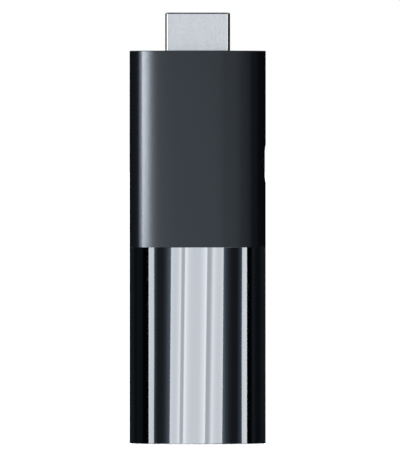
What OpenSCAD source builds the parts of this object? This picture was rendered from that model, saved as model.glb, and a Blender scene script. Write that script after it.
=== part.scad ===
// Streaming media stick: an oval two-part housing round a frame that carries the circuit board,
// with a video plug on the upper end and a small power socket in the right-hand side.
// The stick stands on its lower end. X is its width, Y its depth with the front at -Y, Z its length.

/* [Housing] */
// Width of the body
body_w = 29.2; // [28:0.1:36]
// Depth of the body, front to back
body_d = 15.2; // [14.8:0.1:20]
// Radius of the narrow sides
side_r = 5.6; // [5:0.1:6.4]
// Length of the matte upper housing
upper_l = 42.1; // [38:0.1:60]
// Length of the glossy lower housing
lower_l = 42.1; // [38:0.1:60]
// Thickness of the side walls
wall = 1.5; // [1.3:0.05:1.8]
// Thickness of the two end walls
end_wall = 1.6; // [1:0.1:3]
// Rounding of the rims at both ends
edge_r = 0.3; // [0.1:0.05:0.8]
// Length of the spigot that joins the housings
spigot_l = 3.2; // [2.4:0.1:6]
// Thickness of the spigot
spigot_t = 0.7; // [0.5:0.05:0.8]
// Gap round the spigot in its socket
spigot_fit = 0.06; // [0.03:0.01:0.15]
// How far a snap bead stands out from the spigot
bead_h = 0.2; // [0.1:0.05:0.3]

/* [Frame] */
// Gap between the frame and the housings
slide_fit = 0.1; // [0.05:0.01:0.2]
// Width of a side rail
rail_w = 2.1; // [1.6:0.1:2.4]
// Depth of the groove that holds an edge of the board
groove_d = 1.1; // [0.8:0.1:1.2]
// Thickness of the bulkhead round the plug
bulkhead_l = 4.4; // [2:0.1:5.5]
// Thickness of the bar across the frame behind the board
bar_t = 2; // [1.2:0.1:2.6]
// Diameter of the frame screws
screw_d = 1.6; // [1.2:0.1:2]
// Diameter of their heads
screw_head_d = 2.8; // [2.4:0.1:3]
// Length of their shanks
screw_l = 3.2; // [2.4:0.1:3.4]

/* [Video plug] */
// Width of the plug, across its metal shell
plug_w = 13.9; // [13.9:0.1:16]
// Height of the plug, across its metal shell
plug_h = 4.45; // [4.45:0.05:5]
// How far the plug stands out of the upper end
plug_reach = 8.2; // [7:0.1:12]
// Length of the plug inside the body
plug_inside = 7.7; // [7.4:0.1:9]
// Thickness of the shell's sheet steel
plug_sheet = 0.3; // [0.2:0.05:0.35]
// Width of the slot that takes the socket's tongue
slot_w = 11; // [10.4:0.1:11.2]
// Height of that slot
slot_h = 2; // [1.8:0.05:2.2]
// Depth of that slot
slot_d = 7.2; // [5:0.1:8]
// Spacing of the contacts in one row
contact_pitch = 1; // [0.9:0.01:1.05]
// Width of a contact
contact_w = 0.45; // [0.3:0.01:0.5]
// Thickness of a contact
contact_t = 0.2; // [0.1:0.01:0.25]

/* [Power socket] */
// Distance from the upper end to the middle of the socket
socket_from_top = 24.2; // [22:0.1:24.6]
// Width of the socket's shell
socket_w = 7.5; // [7.5:0.1:8]
// Height of the socket's shell
socket_h = 2.5; // [2.5:0.05:2.8]
// Length of the socket's shell
socket_l = 5.2; // [5:0.1:6]
// Thickness of its sheet steel
socket_sheet = 0.25; // [0.15:0.01:0.3]
// How far the socket reaches into the wall
socket_into_wall = 0.5; // [0.2:0.1:0.8]
// Gap round the socket in the wall
socket_gap = 0.25; // [0.15:0.05:0.5]

/* [Board] */
// Thickness of the main board
board_t = 1; // [0.8:0.1:1.2]
// Distance from the lower end wall to the board
board_lift = 3.4; // [2:0.1:4]
// Side of the square main processor
soc_w = 12; // [10:0.5:13]
// Width of a memory chip
memory_w = 7.5; // [6:0.1:8]
// Length of a memory chip
memory_l = 11; // [9:0.1:11.5]
// Width of the flash chip
flash_w = 11.5; // [10:0.1:12]
// Length of the flash chip
flash_l = 13; // [11:0.1:14]
// Height of the large chips
chip_h = 1; // [0.6:0.1:1.2]
// Space between a chip and the shield wall
chip_margin = 1.3; // [1.2:0.1:1.8]
// Side of the square wireless module
radio_w = 12; // [11:0.1:13]
// Distance from the middle of the power socket to the status light
led_from_socket = 9.5; // [8:0.1:10.5]
// Diameter of the light guide
guide_d = 1.2; // [0.8:0.1:1.4]

/* [Cooling] */
// Height of the shield frames above the board
shield_h = 1.5; // [1.4:0.1:1.8]
// Thickness of the shield sheet
shield_t = 0.2; // [0.15:0.01:0.25]
// Thickness of the thermal pads on the shields
pad_t = 1.3; // [0.8:0.1:1.5]
// Width of a heat spreader
spreader_w = 17.2; // [15:0.1:17.6]
// Gap between a heat spreader and the housings
spreader_gap = 0.15; // [0.1:0.01:0.3]

/* [Hidden] */
$fa = 3;
$fs = 0.2;

// Clearance of a piece that is pressed or soldered in place
snug = 0.03;
// Margin by which a cut runs past the surface that it opens
past = 1;
// Margin that makes two curves cross where they would only touch
hair = 0.002;

// Oval section: two side arcs joined by a front and a rear arc, all tangent
side_x = body_w / 2 - side_r;
front_r = (side_x ^ 2 + (body_d / 2) ^ 2 - side_r ^ 2) / (body_d - 2 * side_r);
front_y = front_r - body_d / 2;
turn = asin(side_x / (front_r - side_r));

body_l = lower_l + upper_l;
cavity_x = body_w / 2 - wall;

// Snap beads: half their angle, the angle to their middle, their slope and height
bead_turn = 5;
bead_place = 13;
bead_slope = 0.45;
bead_z = lower_l + spigot_l * 0.6;

// Frame and board
frame_low = end_wall + slide_fit;
frame_high = body_l - end_wall - slide_fit;
bulkhead_low = frame_high - bulkhead_l;
rail_x = cavity_x - slide_fit - rail_w;
board_x = rail_x + groove_d;
board_y = board_t / 2;
board_low = end_wall + board_lift;
board_high = body_l - plug_inside;
boss_wall = 0.9;
boss_d = screw_d + 2 * boss_wall;
boss_floor = 0.6;
screw_head_l = 0.7;
head_gap = 0.6;
hole_gap = 0.2;

// Plug
plug_corner = 0.7;
plug_bend_y = 0.6;
plug_bevel = 1.75;
plug_seam = 0.08;
insulator_recess = 0.6;
plug_low = board_high;
plug_high = body_l + plug_reach;
insulator_high = plug_high - insulator_recess;
leg_l = 2.4;
leg_back = 0.55;
leg_front = 1.1;
leg_gap = 0.1;
front_count = 10;
rear_count = 9;
contact_groove = 0.15;
contact_bow = 0.25;
row_y = slot_h / 2 + contact_groove - contact_t / 2;
tail_l = 2.2;
tail_bend = 0.6;
tail_gap = 0.1;

// Power socket
socket_corner = 0.4;
socket_bend_y = 0.4;
socket_bevel = 0.8;
socket_z = body_l - socket_from_top;
socket_mouth = cavity_x + socket_into_wall;
socket_back = socket_mouth - socket_l;
relief_top = socket_z + socket_w / 2 + socket_gap;
socket_base_l = 1.5;
socket_pin_pitch = 0.65;
socket_pin_w = 0.3;
socket_pin_t = 0.12;
socket_foot_l = 1.2;
socket_tongue_w = 3.9;
socket_tongue_t = 0.6;
tongue_recess = 0.6;
notch_gap = 0.1;
ear_l = 1.3;
ear_inset = 0.4;
ear_w = rail_x - slide_fit - socket_back - 2 * ear_inset;
// Numbers of its five contacts, counted from the middle one
socket_pins = [-2 : 2];

// Wireless module, antennas and frame screws
antenna_zone = 6;
antenna_rise = 2.6;
antenna_z = board_low + antenna_rise;
antenna_gap = 0.7;
antenna_from_middle = 0.8;
antenna_w = 3;
antenna_sheet = 0.25;
antenna_stand = 2.6;
antenna_leg_w = 1;
radio_z = board_low + antenna_zone + radio_w / 2;
radio_board_t = 0.8;
radio_pads = 7;
radio_pad_pitch = 1.5;
radio_pad_d = 0.7;
radio_chip_size = [5, 5, 0.8];
radio_can_h = 1.2;
can_inset = 0.6;
screw_z = radio_z;
screw_x = rail_x - screw_head_d / 2 - head_gap;

// Chips, shields and cooling
chip_gap = 0.7;
sheet_gap = 0.02;
inductor_size = [3, 3, 1.2];
inductor_x = -5.5;
inductor_pitch = 3.6;
socket_area = max(socket_w / 2 + ear_l, inductor_pitch + inductor_size[1] / 2);
shield_w = max(soc_w, flash_w, 2 * memory_w + chip_gap) + 2 * chip_margin;
shield_l = max(soc_w + chip_gap + memory_l, flash_l) + 2 * chip_margin;
shield_z = (radio_z + radio_w / 2 + socket_z - socket_area) / 2;
shield_low = shield_z - shield_l / 2;
shield_high = shield_z + shield_l / 2;
soc_z = shield_low + chip_margin + soc_w / 2;
memory_z = shield_high - chip_margin - memory_l / 2;
flash_z = shield_high - chip_margin - flash_l / 2;
lid_y = board_y + shield_h;
lid_skirt = 0.9;
frame_rim = 0.9;
shield_room = 0.4;
pad_y = lid_y + shield_t;
pad_inset = 0.5;
spreader_y = pad_y + pad_t;
spreader_lap = 1.4;
spreader_low = shield_low - spreader_lap;
spreader_high = bulkhead_low;
lug_lap = 0.5;
lug_x = spreader_w / 2 - lug_lap;
lug_l = 1.5;
lug_d = 0.8;

// Small chips as width, length and height, and their places as X and Z
power_chip_size = [5, 5, 0.9];
crystal_size = [3.2, 2.5, 0.7];
esd_size = [1.9, 1, 0.5];
esd_pitch = 2.9;
esd_drop = 3.4;
large_capacitor = [1.6, 0.8, 0.8];
large_pitch = [2.8, 2];
large_rise = 2.6;
small_capacitor = [1, 0.5, 0.5];
small_pitch = 2;
small_drop = 1;
small_resistor = [1, 0.5, 0.35];
resistor_pitch = 1.6;
resistor_rise = 3.4;
resistor_drop = 3.2;
crystal_x = 5;
crystal_drop = 1.5;
metal_end = 0.2;
end_step = 0.02;

// Status light
led_size = [0.8, 0.6, 1.6];
led_y = -board_y - led_size[1] / 2;
led_z = socket_z + led_from_socket;
led_base_h = 0.2;
led_inset = 0.3;
led_x = board_x - led_inset - led_size[0] / 2;
guide_head_rim = 0.4;
guide_head_d = guide_d + 2 * guide_head_rim;
guide_head_l = 0.4;

// Full oval section, shrunk by an inset
module oval(inset = 0) {
    for (s = [-1, 1]) translate([s * side_x, 0]) circle(r = side_r - inset);
    intersection() {
        translate([0, front_y]) circle(r = front_r - inset);
        translate([0, -front_y]) circle(r = front_r - inset);
        polygon([for (p = [[1, 2], [1, 0], [1, -2], [-1, -2], [-1, 0], [-1, 2]])
            [p[0] * (side_x + abs(p[1]) * side_r * sin(turn)), p[1] * side_r * cos(turn)]]);
    }
}

// Oval bar from one height to another
module oval_bar(low, high, inset = 0) {
    translate([0, 0, low]) linear_extrude(high - low) oval(inset);
}

// Ring of arcs that rounds the outer rim of the end at Z = 0
module rim_cutter() {
    overlap = 0.05;
    for (m = [0, 180]) rotate([0, 0, m]) {
        translate([0, front_y, 0])
            rotate_extrude(start = -90 - turn - overlap, angle = 2 * (turn + overlap))
                translate([front_r, 0]) rim_corner();
        translate([side_x, 0, 0])
            rotate_extrude(start = turn - 90, angle = 180 - 2 * turn)
                translate([side_r, 0]) rim_corner();
    }
}

// Corner that the rim cutter takes away
module rim_corner() {
    difference() {
        translate([-edge_r, -past]) square(edge_r + past);
        translate([-edge_r, edge_r]) circle(r = edge_r);
    }
}

// Outline at a distance r round a convex ring of points, listed anticlockwise.
// Its straight sides lie a hair inside the corner arcs, so that sides and arcs always cross.
module outline_about(ring, r) {
    n = len(ring);
    polygon([for (i = [0 : n - 1])
        let(a = ring[i], b = ring[(i + 1) % n], out = (r - hair) * [b[1] - a[1], a[0] - b[0]] / norm(b - a))
        each [a + out, b + out]]);
    for (p = ring) translate(p) circle(r = r);
}

// Bar between two places across the width, drawn in Y and Z
module across(left, right) {
    translate([left, 0, 0]) rotate([90, 0, 90]) linear_extrude(right - left) children();
}

// Block on the rear face of the board: size as width, length and height, place as X and Z
module on_board(size, place, lift = 0) {
    translate([place[0] - size[0] / 2, board_y + lift, place[1] - size[1] / 2])
        cube([size[0], size[2], size[1]]);
}

// The same place on the front face
module in_front() {
    mirror([0, 1, 0]) children();
}

// Beads round the spigot that snap into the upper housing
module snap_beads(radius, grow) {
    for (m = [0, 180], s = [-1, 1]) rotate([0, 0, m])
        translate([0, front_y, bead_z])
            rotate_extrude(start = -90 + s * bead_place - bead_turn - grow, angle = 2 * (bead_turn + grow))
                translate([radius, 0])
                    polygon([
                        [-spigot_t / 2, -bead_slope - bead_h - grow],
                        [0, -bead_slope - grow],
                        [bead_h + grow, 0],
                        [0, bead_slope + grow],
                        [-spigot_t / 2, bead_slope + bead_h + grow]
                    ]);
}

// Section of the plug: wide flat front, bevelled shoulders at the rear
module plug_outline(grow = 0) {
    x = plug_w / 2 - plug_corner;
    y = plug_h / 2 - plug_corner;
    outline_about([
        [-x, -y], [x, -y], [x, plug_bend_y],
        [x - plug_bevel, y], [-x + plug_bevel, y], [-x, plug_bend_y]
    ], plug_corner + grow);
}

// Section of the power socket in Y and Z, bevelled at the rear
module socket_outline(grow = 0) {
    y = socket_h / 2 - socket_corner;
    z = socket_w / 2 - socket_corner;
    translate([0, socket_z]) outline_about([
        [-y, -z], [socket_bend_y, -z], [y, socket_bevel - z],
        [y, z - socket_bevel], [socket_bend_y, z], [-y, z]
    ], socket_corner + grow);
}

// Matte upper half: an oval tube closed at the top, open for the plug, the power socket and the light
module upper_housing() {
    color("#3a3e44") difference() {
        oval_bar(lower_l, body_l);
        oval_bar(lower_l - past, body_l - end_wall, wall);
        oval_bar(lower_l - past, lower_l + spigot_l + slide_fit, wall - spigot_t - spigot_fit);
        snap_beads(front_r - wall + spigot_t + spigot_fit, spigot_fit);
        translate([0, 0, body_l]) mirror([0, 0, 1]) rim_cutter();
        translate([0, 0, body_l - end_wall - past]) linear_extrude(end_wall + 2 * past)
            plug_outline(slide_fit);
        across(cavity_x - past, body_w / 2 + past) socket_outline(socket_gap);
        translate([0, -socket_h / 2 - socket_gap, lower_l - past])
            cube([socket_mouth + slide_fit, socket_h + 2 * socket_gap, relief_top - lower_l + past]);
        across(cavity_x - past, body_w / 2 + past) translate([led_y, led_z]) circle(d = guide_d + 2 * snug);
        across(cavity_x - past, cavity_x + guide_head_l)
            translate([led_y, led_z]) circle(d = guide_head_d + 2 * snug);
    }
}

// Glossy lower half: an oval cup whose spigot enters the upper half
module lower_housing() {
    color("#14161a") difference() {
        union() {
            oval_bar(0, lower_l);
            oval_bar(lower_l - past, lower_l + spigot_l, wall - spigot_t);
            snap_beads(front_r - wall + spigot_t, 0);
        }
        oval_bar(end_wall, lower_l + spigot_l + past, wall);
        rim_cutter();
    }
}

// Frame: two grooved rails, a bulkhead round the plug, a bar behind the board and lugs for the spreaders
module inner_frame() {
    color("#24272b") difference() {
        union() {
            intersection() {
                oval_bar(frame_low, frame_high, wall + slide_fit);
                union() {
                    for (s = [-1, 1]) translate([s * (rail_x + rail_w), 0, body_l / 2])
                        cube([2 * rail_w, body_d, body_l], center = true);
                    translate([0, 0, bulkhead_low + body_l / 2])
                        cube([body_w, body_d, body_l], center = true);
                    for (m = [0, 1], s = [-1, 1]) mirror([0, m, 0])
                        translate([s > 0 ? lug_x : -body_w / 2, spreader_y - lug_d, spreader_low - lug_l])
                            cube([body_w / 2 - lug_x, body_d / 2, lug_l]);
                    translate([-body_w / 2, board_y + snug, screw_z - boss_d / 2])
                        cube([body_w, bar_t, boss_d]);
                }
            }
            for (s = [-1, 1]) translate([s * screw_x, 0, screw_z]) rotate([-90, 0, 0])
                cylinder(d = boss_d, h = screw_l - board_y + boss_floor);
        }
        translate([-board_x - snug, -board_y - snug, frame_low - past])
            cube([2 * (board_x + snug), board_t + 2 * snug, board_high + snug - frame_low + past]);
        translate([0, 0, bulkhead_low - past]) linear_extrude(bulkhead_l + 2 * past) plug_outline(snug);
        translate([rail_x - past, -socket_h / 2 - socket_gap, socket_z - socket_w / 2 - socket_gap])
            cube([rail_w + 2 * past, socket_h + 2 * socket_gap, socket_w + 2 * socket_gap]);
        in_front() translate([rail_x - past, 0, led_z - led_size[2] / 2 - socket_gap])
            cube([rail_w + 2 * past, board_y + led_size[1] + socket_gap, led_size[2] + 2 * socket_gap]);
        translate([-shield_w / 2 - shield_room, -lid_y - shield_room, shield_low - shield_room])
            cube([shield_w + 2 * shield_room, 2 * (lid_y + shield_room), shield_l + 2 * shield_room]);
        for (s = [-1, 1]) translate([s * screw_x, 0, screw_z]) rotate([-90, 0, 0])
            cylinder(d = screw_d + 2 * snug, h = screw_l - board_y + hole_gap);
    }
}

// Two cross-head screws that hold the board to the frame
module frame_screws() {
    cross = [screw_head_d * 0.6, 0.4, screw_head_l * 0.6];
    color("#9a9da1") for (s = [-1, 1]) translate([s * screw_x, -board_y, screw_z]) rotate([-90, 0, 0])
        difference() {
            union() {
                cylinder(d = screw_d, h = screw_l);
                translate([0, 0, -screw_head_l]) cylinder(d = screw_head_d, h = screw_head_l);
            }
            for (a = [0, 90]) rotate([0, 0, a])
                translate([-cross[0] / 2, -cross[1] / 2, -screw_head_l - past])
                    cube([cross[0], cross[1], past + cross[2]]);
        }
}

// Folded steel shell of the plug, with its seam at the rear and two legs that clasp the board
module plug_shell() {
    color("#c4c8cd") difference() {
        union() {
            translate([0, 0, plug_low]) linear_extrude(plug_high - plug_low) plug_outline();
            for (s = [0, 1]) mirror([s, 0, 0])
                translate([plug_w / 2 - plug_sheet, -leg_front, plug_low - leg_l])
                    cube([plug_sheet, leg_front + leg_back, leg_l + past]);
        }
        translate([0, 0, plug_low - past]) linear_extrude(plug_high - plug_low + 2 * past)
            plug_outline(-plug_sheet);
        translate([-plug_seam / 2, 0, plug_low - past])
            cube([plug_seam, plug_h, plug_high - plug_low + 2 * past]);
    }
}

// Places of one row of contacts along X
function row_places(count) = [for (i = [0 : count - 1]) (i - (count - 1) / 2) * contact_pitch];

// Moulded core of the plug: a slot for the tongue and a groove for each contact
module plug_insulator() {
    color("#17191c") difference() {
        translate([0, 0, plug_low]) linear_extrude(insulator_high - plug_low)
            plug_outline(-plug_sheet - snug);
        translate([-slot_w / 2, -slot_h / 2, insulator_high - slot_d]) cube([slot_w, slot_h, slot_d + past]);
        for (row = [[-1, front_count], [1, rear_count]], x = row_places(row[1]))
            translate([x, row[0] * row_y, (plug_low + plug_high) / 2])
                cube([contact_w + 2 * snug, contact_t + 2 * snug, plug_high - plug_low + 2 * past],
                    center = true);
    }
}

// Side view of one contact: tail on the board, straight shank, sprung tip
module contact_profile() {
    path = [
        [board_y + contact_t / 2, plug_low - tail_l],
        [board_y + contact_t / 2, plug_low - tail_bend],
        [row_y, plug_low - tail_gap],
        [row_y, insulator_high - slot_d * 0.55],
        [row_y - contact_bow, insulator_high - slot_d * 0.25],
        [row_y, insulator_high - slot_d * 0.07]
    ];
    back = [for (i = [len(path) - 1 : -1 : 0]) path[i]];
    polygon(concat(
        [for (p = path) [p[0] + contact_t / 2, p[1]]],
        [for (p = back) [p[0] - contact_t / 2, p[1]]]
    ));
}

// Gold-plated contacts, ten in front and nine behind
module plug_contacts() {
    color("#c9a648") for (row = [[1, front_count], [0, rear_count]], x = row_places(row[1]))
        mirror([0, row[0], 0]) across(x - contact_w / 2, x + contact_w / 2) contact_profile();
}

// Steel shell of the power socket, let into the edge of the board on two ears
module socket_shell() {
    color("#bfc3c7") {
        difference() {
            across(socket_back, socket_mouth) socket_outline();
            across(socket_back - past, socket_mouth + past) socket_outline(-socket_sheet);
        }
        for (s = [0, 1]) translate([0, 0, socket_z]) mirror([0, 0, s])
            translate([socket_back + ear_inset, -board_y - socket_sheet, socket_w / 2 - socket_sheet / 2])
                cube([ear_w, socket_sheet, ear_l + socket_sheet / 2]);
    }
}

// Moulded tongue of the power socket on its base block
module socket_tongue() {
    color("#1b1d20") difference() {
        union() {
            across(socket_back, socket_back + socket_base_l) socket_outline(-socket_sheet - snug);
            translate([socket_back + socket_base_l / 2, 0, socket_z - socket_tongue_w / 2])
                cube([socket_l - socket_base_l / 2 - tongue_recess, socket_tongue_t, socket_tongue_w]);
        }
        for (i = socket_pins) translate([0, 0, socket_z + i * socket_pin_pitch - socket_pin_w / 2 - snug])
            translate([socket_back - past, -board_y - socket_pin_t - snug, 0])
                cube([socket_base_l + 2 * past, board_y + socket_pin_t + snug, socket_pin_w + 2 * snug]);
    }
}

// Five contacts that lie on the front of the tongue and end on the front of the board
module socket_contacts() {
    tail_y = -board_y - socket_pin_t / 2;
    path = [
        [socket_back - socket_foot_l, tail_y],
        [socket_back + 0.4, tail_y],
        [socket_back + 0.9, -socket_pin_t / 2],
        [socket_mouth - 0.9, -socket_pin_t / 2]
    ];
    color("#c9a648") for (i = socket_pins)
        translate([0, 0, socket_z + i * socket_pin_pitch - socket_pin_w / 2]) linear_extrude(socket_pin_w)
            polygon(concat(
                [for (p = path) p - [0, socket_pin_t / 2]],
                [for (k = [len(path) - 1 : -1 : 0]) path[k] + [0, socket_pin_t / 2]]
            ));
}

// Main circuit board, with a notch for the power socket, slots for the plug's legs and two screw holes
module main_board() {
    color("#1d4a33") difference() {
        translate([-board_x, -board_y, board_low]) cube([2 * board_x, board_t, board_high - board_low]);
        translate([socket_back - notch_gap, -past, socket_z - socket_w / 2 - notch_gap])
            cube([socket_l + past, 2 * past, socket_w + 2 * notch_gap]);
        for (s = [0, 1]) mirror([s, 0, 0])
            translate([plug_w / 2 - plug_sheet - leg_gap, -past, board_high - leg_l - leg_gap])
                cube([plug_sheet + 2 * leg_gap, 2 * past, leg_l + leg_gap + past]);
        for (s = [-1, 1]) translate([s * screw_x, -past, screw_z]) rotate([-90, 0, 0])
            cylinder(d = screw_d + hole_gap, h = 2 * past);
    }
}

// Main processor on the front of the board, under the front shield
module soc_chip() {
    color("#202225") in_front() on_board([soc_w, soc_w, chip_h], [0, soc_z]);
}

// Two memory chips beside each other above the processor
module memory_chips() {
    color("#1c1e21") in_front() for (s = [-1, 1])
        on_board([memory_w, memory_l, chip_h], [s * (memory_w + chip_gap) / 2, memory_z]);
}

// Flash memory chip behind the board, under the rear shield
module flash_chip() {
    color("#1c1e21") on_board([flash_w, flash_l, chip_h], [0, flash_z]);
}

// Power controller behind the board, level with the power socket
module power_chip() {
    color("#202225") on_board(power_chip_size, [0, socket_z]);
}

// Three coils of the power supply beside their controller
module power_inductors() {
    color("#4a4c50") for (i = [-1 : 1])
        on_board(inductor_size, [inductor_x, socket_z + i * inductor_pitch]);
}

// Timing crystals, one on each face of the board
module crystals() {
    color("#b7babf") {
        on_board(crystal_size, [crystal_x, led_z - crystal_drop]);
        in_front() on_board(crystal_size, [-crystal_x, led_z - crystal_drop]);
    }
}

// Small chip part with metal ends, lying along X
module chip_part(size, place) {
    cap = size[0] * metal_end;
    on_board([size[0] - 2 * cap, size[1] - 2 * end_step, size[2] - end_step], place);
    for (s = [-1, 1]) on_board([cap, size[1], size[2]], place + [s * (size[0] - cap) / 2, 0]);
}

// Ceramic capacitors: a field under the rear shield and a row in front below the plug
module capacitors() {
    color("#a38a6a") {
        for (i = [-2 : 2], k = [0, 1])
            chip_part(large_capacitor, [i * large_pitch[0], shield_low + large_rise + k * large_pitch[1]]);
        in_front() for (i = [-1 : 2]) chip_part(small_capacitor, [i * small_pitch, led_z - small_drop]);
    }
}

// Resistors: a row in front of the board at the power socket's level and a row behind it below the plug
module resistors() {
    color("#2b2c2e") {
        in_front() for (i = [-3 : 2])
            chip_part(small_resistor, [i * resistor_pitch, socket_z + resistor_rise]);
        for (i = [-2 : 2]) chip_part(small_resistor, [i * resistor_pitch, board_high - resistor_drop]);
    }
}

// Surge protectors of the video lines, in a row in front below the plug
module esd_arrays() {
    color("#202225") in_front() for (i = [-1.5 : 1.5])
        on_board(esd_size, [i * esd_pitch, board_high - esd_drop]);
}

// Side-facing status light at the edge of the board
module status_led() {
    color("#e8e6da") in_front() {
        on_board([led_size[0], led_size[2], led_base_h], [led_x, led_z]);
        on_board([led_size[0], led_size[2] * 0.7, led_size[1]], [led_x, led_z]);
    }
}

// Clear pin with a head inside the wall, which brings the light to the surface
module light_guide() {
    color("#dfe6ea") intersection() {
        oval_bar(0, body_l, snug);
        union() {
            across(cavity_x, body_w / 2 + past) translate([led_y, led_z]) circle(d = guide_d);
            across(cavity_x, cavity_x + guide_head_l) translate([led_y, led_z]) circle(d = guide_head_d);
        }
    }
}

// Soldered fence round a chip area behind the board, with a folded rim
module shield_frame() {
    inside = 2 * shield_t;
    window = inside + 2 * frame_rim;
    difference() {
        on_board([shield_w, shield_l, shield_h], [0, shield_z]);
        on_board([shield_w - inside, shield_l - inside, shield_h - shield_t + past], [0, shield_z], -past);
        on_board([shield_w - window, shield_l - window, shield_h + 2 * past], [0, shield_z], -past);
    }
}

// Lid that snaps over the fence
module shield_lid() {
    inside = 2 * sheet_gap;
    outside = inside + 2 * shield_t;
    difference() {
        on_board([shield_w + outside, shield_l + outside, lid_skirt + shield_t],
            [0, shield_z], shield_h - lid_skirt);
        on_board([shield_w + inside, shield_l + inside, lid_skirt + past],
            [0, shield_z], shield_h - lid_skirt - past);
    }
}

module front_shield_frame() {
    color("#b4b7ba") in_front() shield_frame();
}

module front_shield_lid() {
    color("#c2c5c8") in_front() shield_lid();
}

module rear_shield_frame() {
    color("#b4b7ba") shield_frame();
}

module rear_shield_lid() {
    color("#c2c5c8") shield_lid();
}

// Thermal pad between the processor and its lid
module soc_thermal_pad() {
    color("#8fa3ad") in_front() on_board([soc_w, soc_w, shield_h - chip_h], [0, soc_z], chip_h);
}

// Thermal pad between the flash chip and its lid
module flash_thermal_pad() {
    color("#8fa3ad") on_board([flash_w - 2 * pad_inset, flash_l - 2 * pad_inset, shield_h - chip_h],
        [0, flash_z], chip_h);
}

// Thermal pad between a lid and its heat spreader
module outer_pad() {
    on_board([min(shield_w, spreader_w) - 2 * pad_inset, shield_l - 2 * pad_inset, pad_t],
        [0, shield_z], shield_h + shield_t);
}

module front_thermal_pad() {
    color("#8fa3ad") in_front() outer_pad();
}

module rear_thermal_pad() {
    color("#8fa3ad") outer_pad();
}

// Aluminium bar behind the board, flat inside and curved like the wall outside
module heat_spreader() {
    translate([0, 0, spreader_low]) linear_extrude(spreader_high - spreader_low) intersection() {
        oval(wall + spreader_gap);
        translate([-spreader_w / 2, spreader_y]) square([spreader_w, body_d]);
    }
}

module front_heat_spreader() {
    color("#d0d3d6") in_front() heat_spreader();
}

module rear_heat_spreader() {
    color("#d0d3d6") heat_spreader();
}

// Wireless module: its own small board, soldered by half holes along two edges
module radio_board() {
    color("#1f5a8a") in_front() difference() {
        on_board([radio_w, radio_w, radio_board_t], [0, radio_z]);
        for (s = [-1, 1], i = [0 : radio_pads - 1])
            translate([s * radio_w / 2, 0, radio_z + (i - (radio_pads - 1) / 2) * radio_pad_pitch])
                rotate([-90, 0, 0]) cylinder(d = radio_pad_d, h = board_y + radio_board_t + past);
    }
}

// Radio chip on the wireless module
module radio_chip() {
    color("#202225") in_front() on_board(radio_chip_size, [0, radio_z], radio_board_t);
}

// Drawn metal can over the radio chip
module radio_can() {
    outside = radio_w - 2 * can_inset;
    inside = outside - 2 * shield_t;
    color("#c2c5c8") in_front() difference() {
        on_board([outside, outside, radio_can_h], [0, radio_z], radio_board_t);
        on_board([inside, inside, radio_can_h - shield_t + past], [0, radio_z], radio_board_t - past);
    }
}

// Stamped antenna behind the board: a plate on two legs with feet
module antenna() {
    left = antenna_from_middle;
    right = rail_x - antenna_gap;
    foot_l = antenna_w / 2;
    on_board([right - left, antenna_w, antenna_sheet], [(left + right) / 2, antenna_z], antenna_stand);
    for (x = [right - antenna_leg_w / 2, right - 2.6 * antenna_leg_w]) {
        on_board([antenna_leg_w, antenna_sheet, antenna_stand + antenna_sheet],
            [x, antenna_z + (antenna_w - antenna_sheet) / 2]);
        on_board([antenna_leg_w, foot_l, antenna_sheet], [x, antenna_z + foot_l / 2]);
    }
}

module main_antenna() {
    color("#c8ccce") mirror([1, 0, 0]) in_front() antenna();
}

module second_antenna() {
    color("#c8ccce") antenna();
}

upper_housing();
lower_housing();
inner_frame();
frame_screws();
plug_shell();
plug_insulator();
plug_contacts();
socket_shell();
socket_tongue();
socket_contacts();
main_board();
soc_chip();
memory_chips();
flash_chip();
power_chip();
power_inductors();
crystals();
capacitors();
resistors();
esd_arrays();
status_led();
light_guide();
front_shield_frame();
front_shield_lid();
rear_shield_frame();
rear_shield_lid();
soc_thermal_pad();
flash_thermal_pad();
front_thermal_pad();
rear_thermal_pad();
front_heat_spreader();
rear_heat_spreader();
radio_board();
radio_chip();
radio_can();
main_antenna();
second_antenna();
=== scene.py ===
# Streaming media stick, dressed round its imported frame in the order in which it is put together.
# Everything is in metres, the front faces -Y and the stick stands on its lower end.
import bmesh
import bpy
from math import asin, atan2, cos, pi, radians, sin, sqrt, tan
from mathutils import Matrix, Vector


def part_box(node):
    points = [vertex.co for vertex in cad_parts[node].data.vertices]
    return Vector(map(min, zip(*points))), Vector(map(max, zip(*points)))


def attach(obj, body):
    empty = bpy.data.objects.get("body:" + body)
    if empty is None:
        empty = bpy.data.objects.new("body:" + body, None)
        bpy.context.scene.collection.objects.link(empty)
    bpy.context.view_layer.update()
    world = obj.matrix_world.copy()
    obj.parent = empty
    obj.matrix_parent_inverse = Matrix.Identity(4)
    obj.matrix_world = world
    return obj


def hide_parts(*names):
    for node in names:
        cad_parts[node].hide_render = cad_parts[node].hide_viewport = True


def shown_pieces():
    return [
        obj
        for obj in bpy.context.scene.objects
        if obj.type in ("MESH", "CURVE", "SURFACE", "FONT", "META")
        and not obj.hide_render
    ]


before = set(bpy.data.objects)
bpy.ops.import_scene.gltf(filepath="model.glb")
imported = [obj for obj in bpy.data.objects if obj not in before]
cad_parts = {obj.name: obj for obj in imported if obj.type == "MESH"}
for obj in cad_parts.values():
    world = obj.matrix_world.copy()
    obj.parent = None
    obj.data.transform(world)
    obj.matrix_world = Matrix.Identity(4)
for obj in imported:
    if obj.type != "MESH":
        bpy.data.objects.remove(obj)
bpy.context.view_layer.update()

MM = 0.001


# Main board: glass-fibre laminate with copper tracks under a green solder mask, routed to shape with
# a notch for the power socket and slots for the plug's legs. Its solid keeps its own shape.

def linear(code):
    """Turns an sRGB hex colour into the linear light that the shader works in."""
    parts = [int(code[i:i + 2], 16) / 255 for i in (1, 3, 5)]
    return tuple(c / 12.92 if c < 0.04045 else ((c + 0.055) / 1.055) ** 2.4 for c in parts) + (1.0,)


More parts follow.
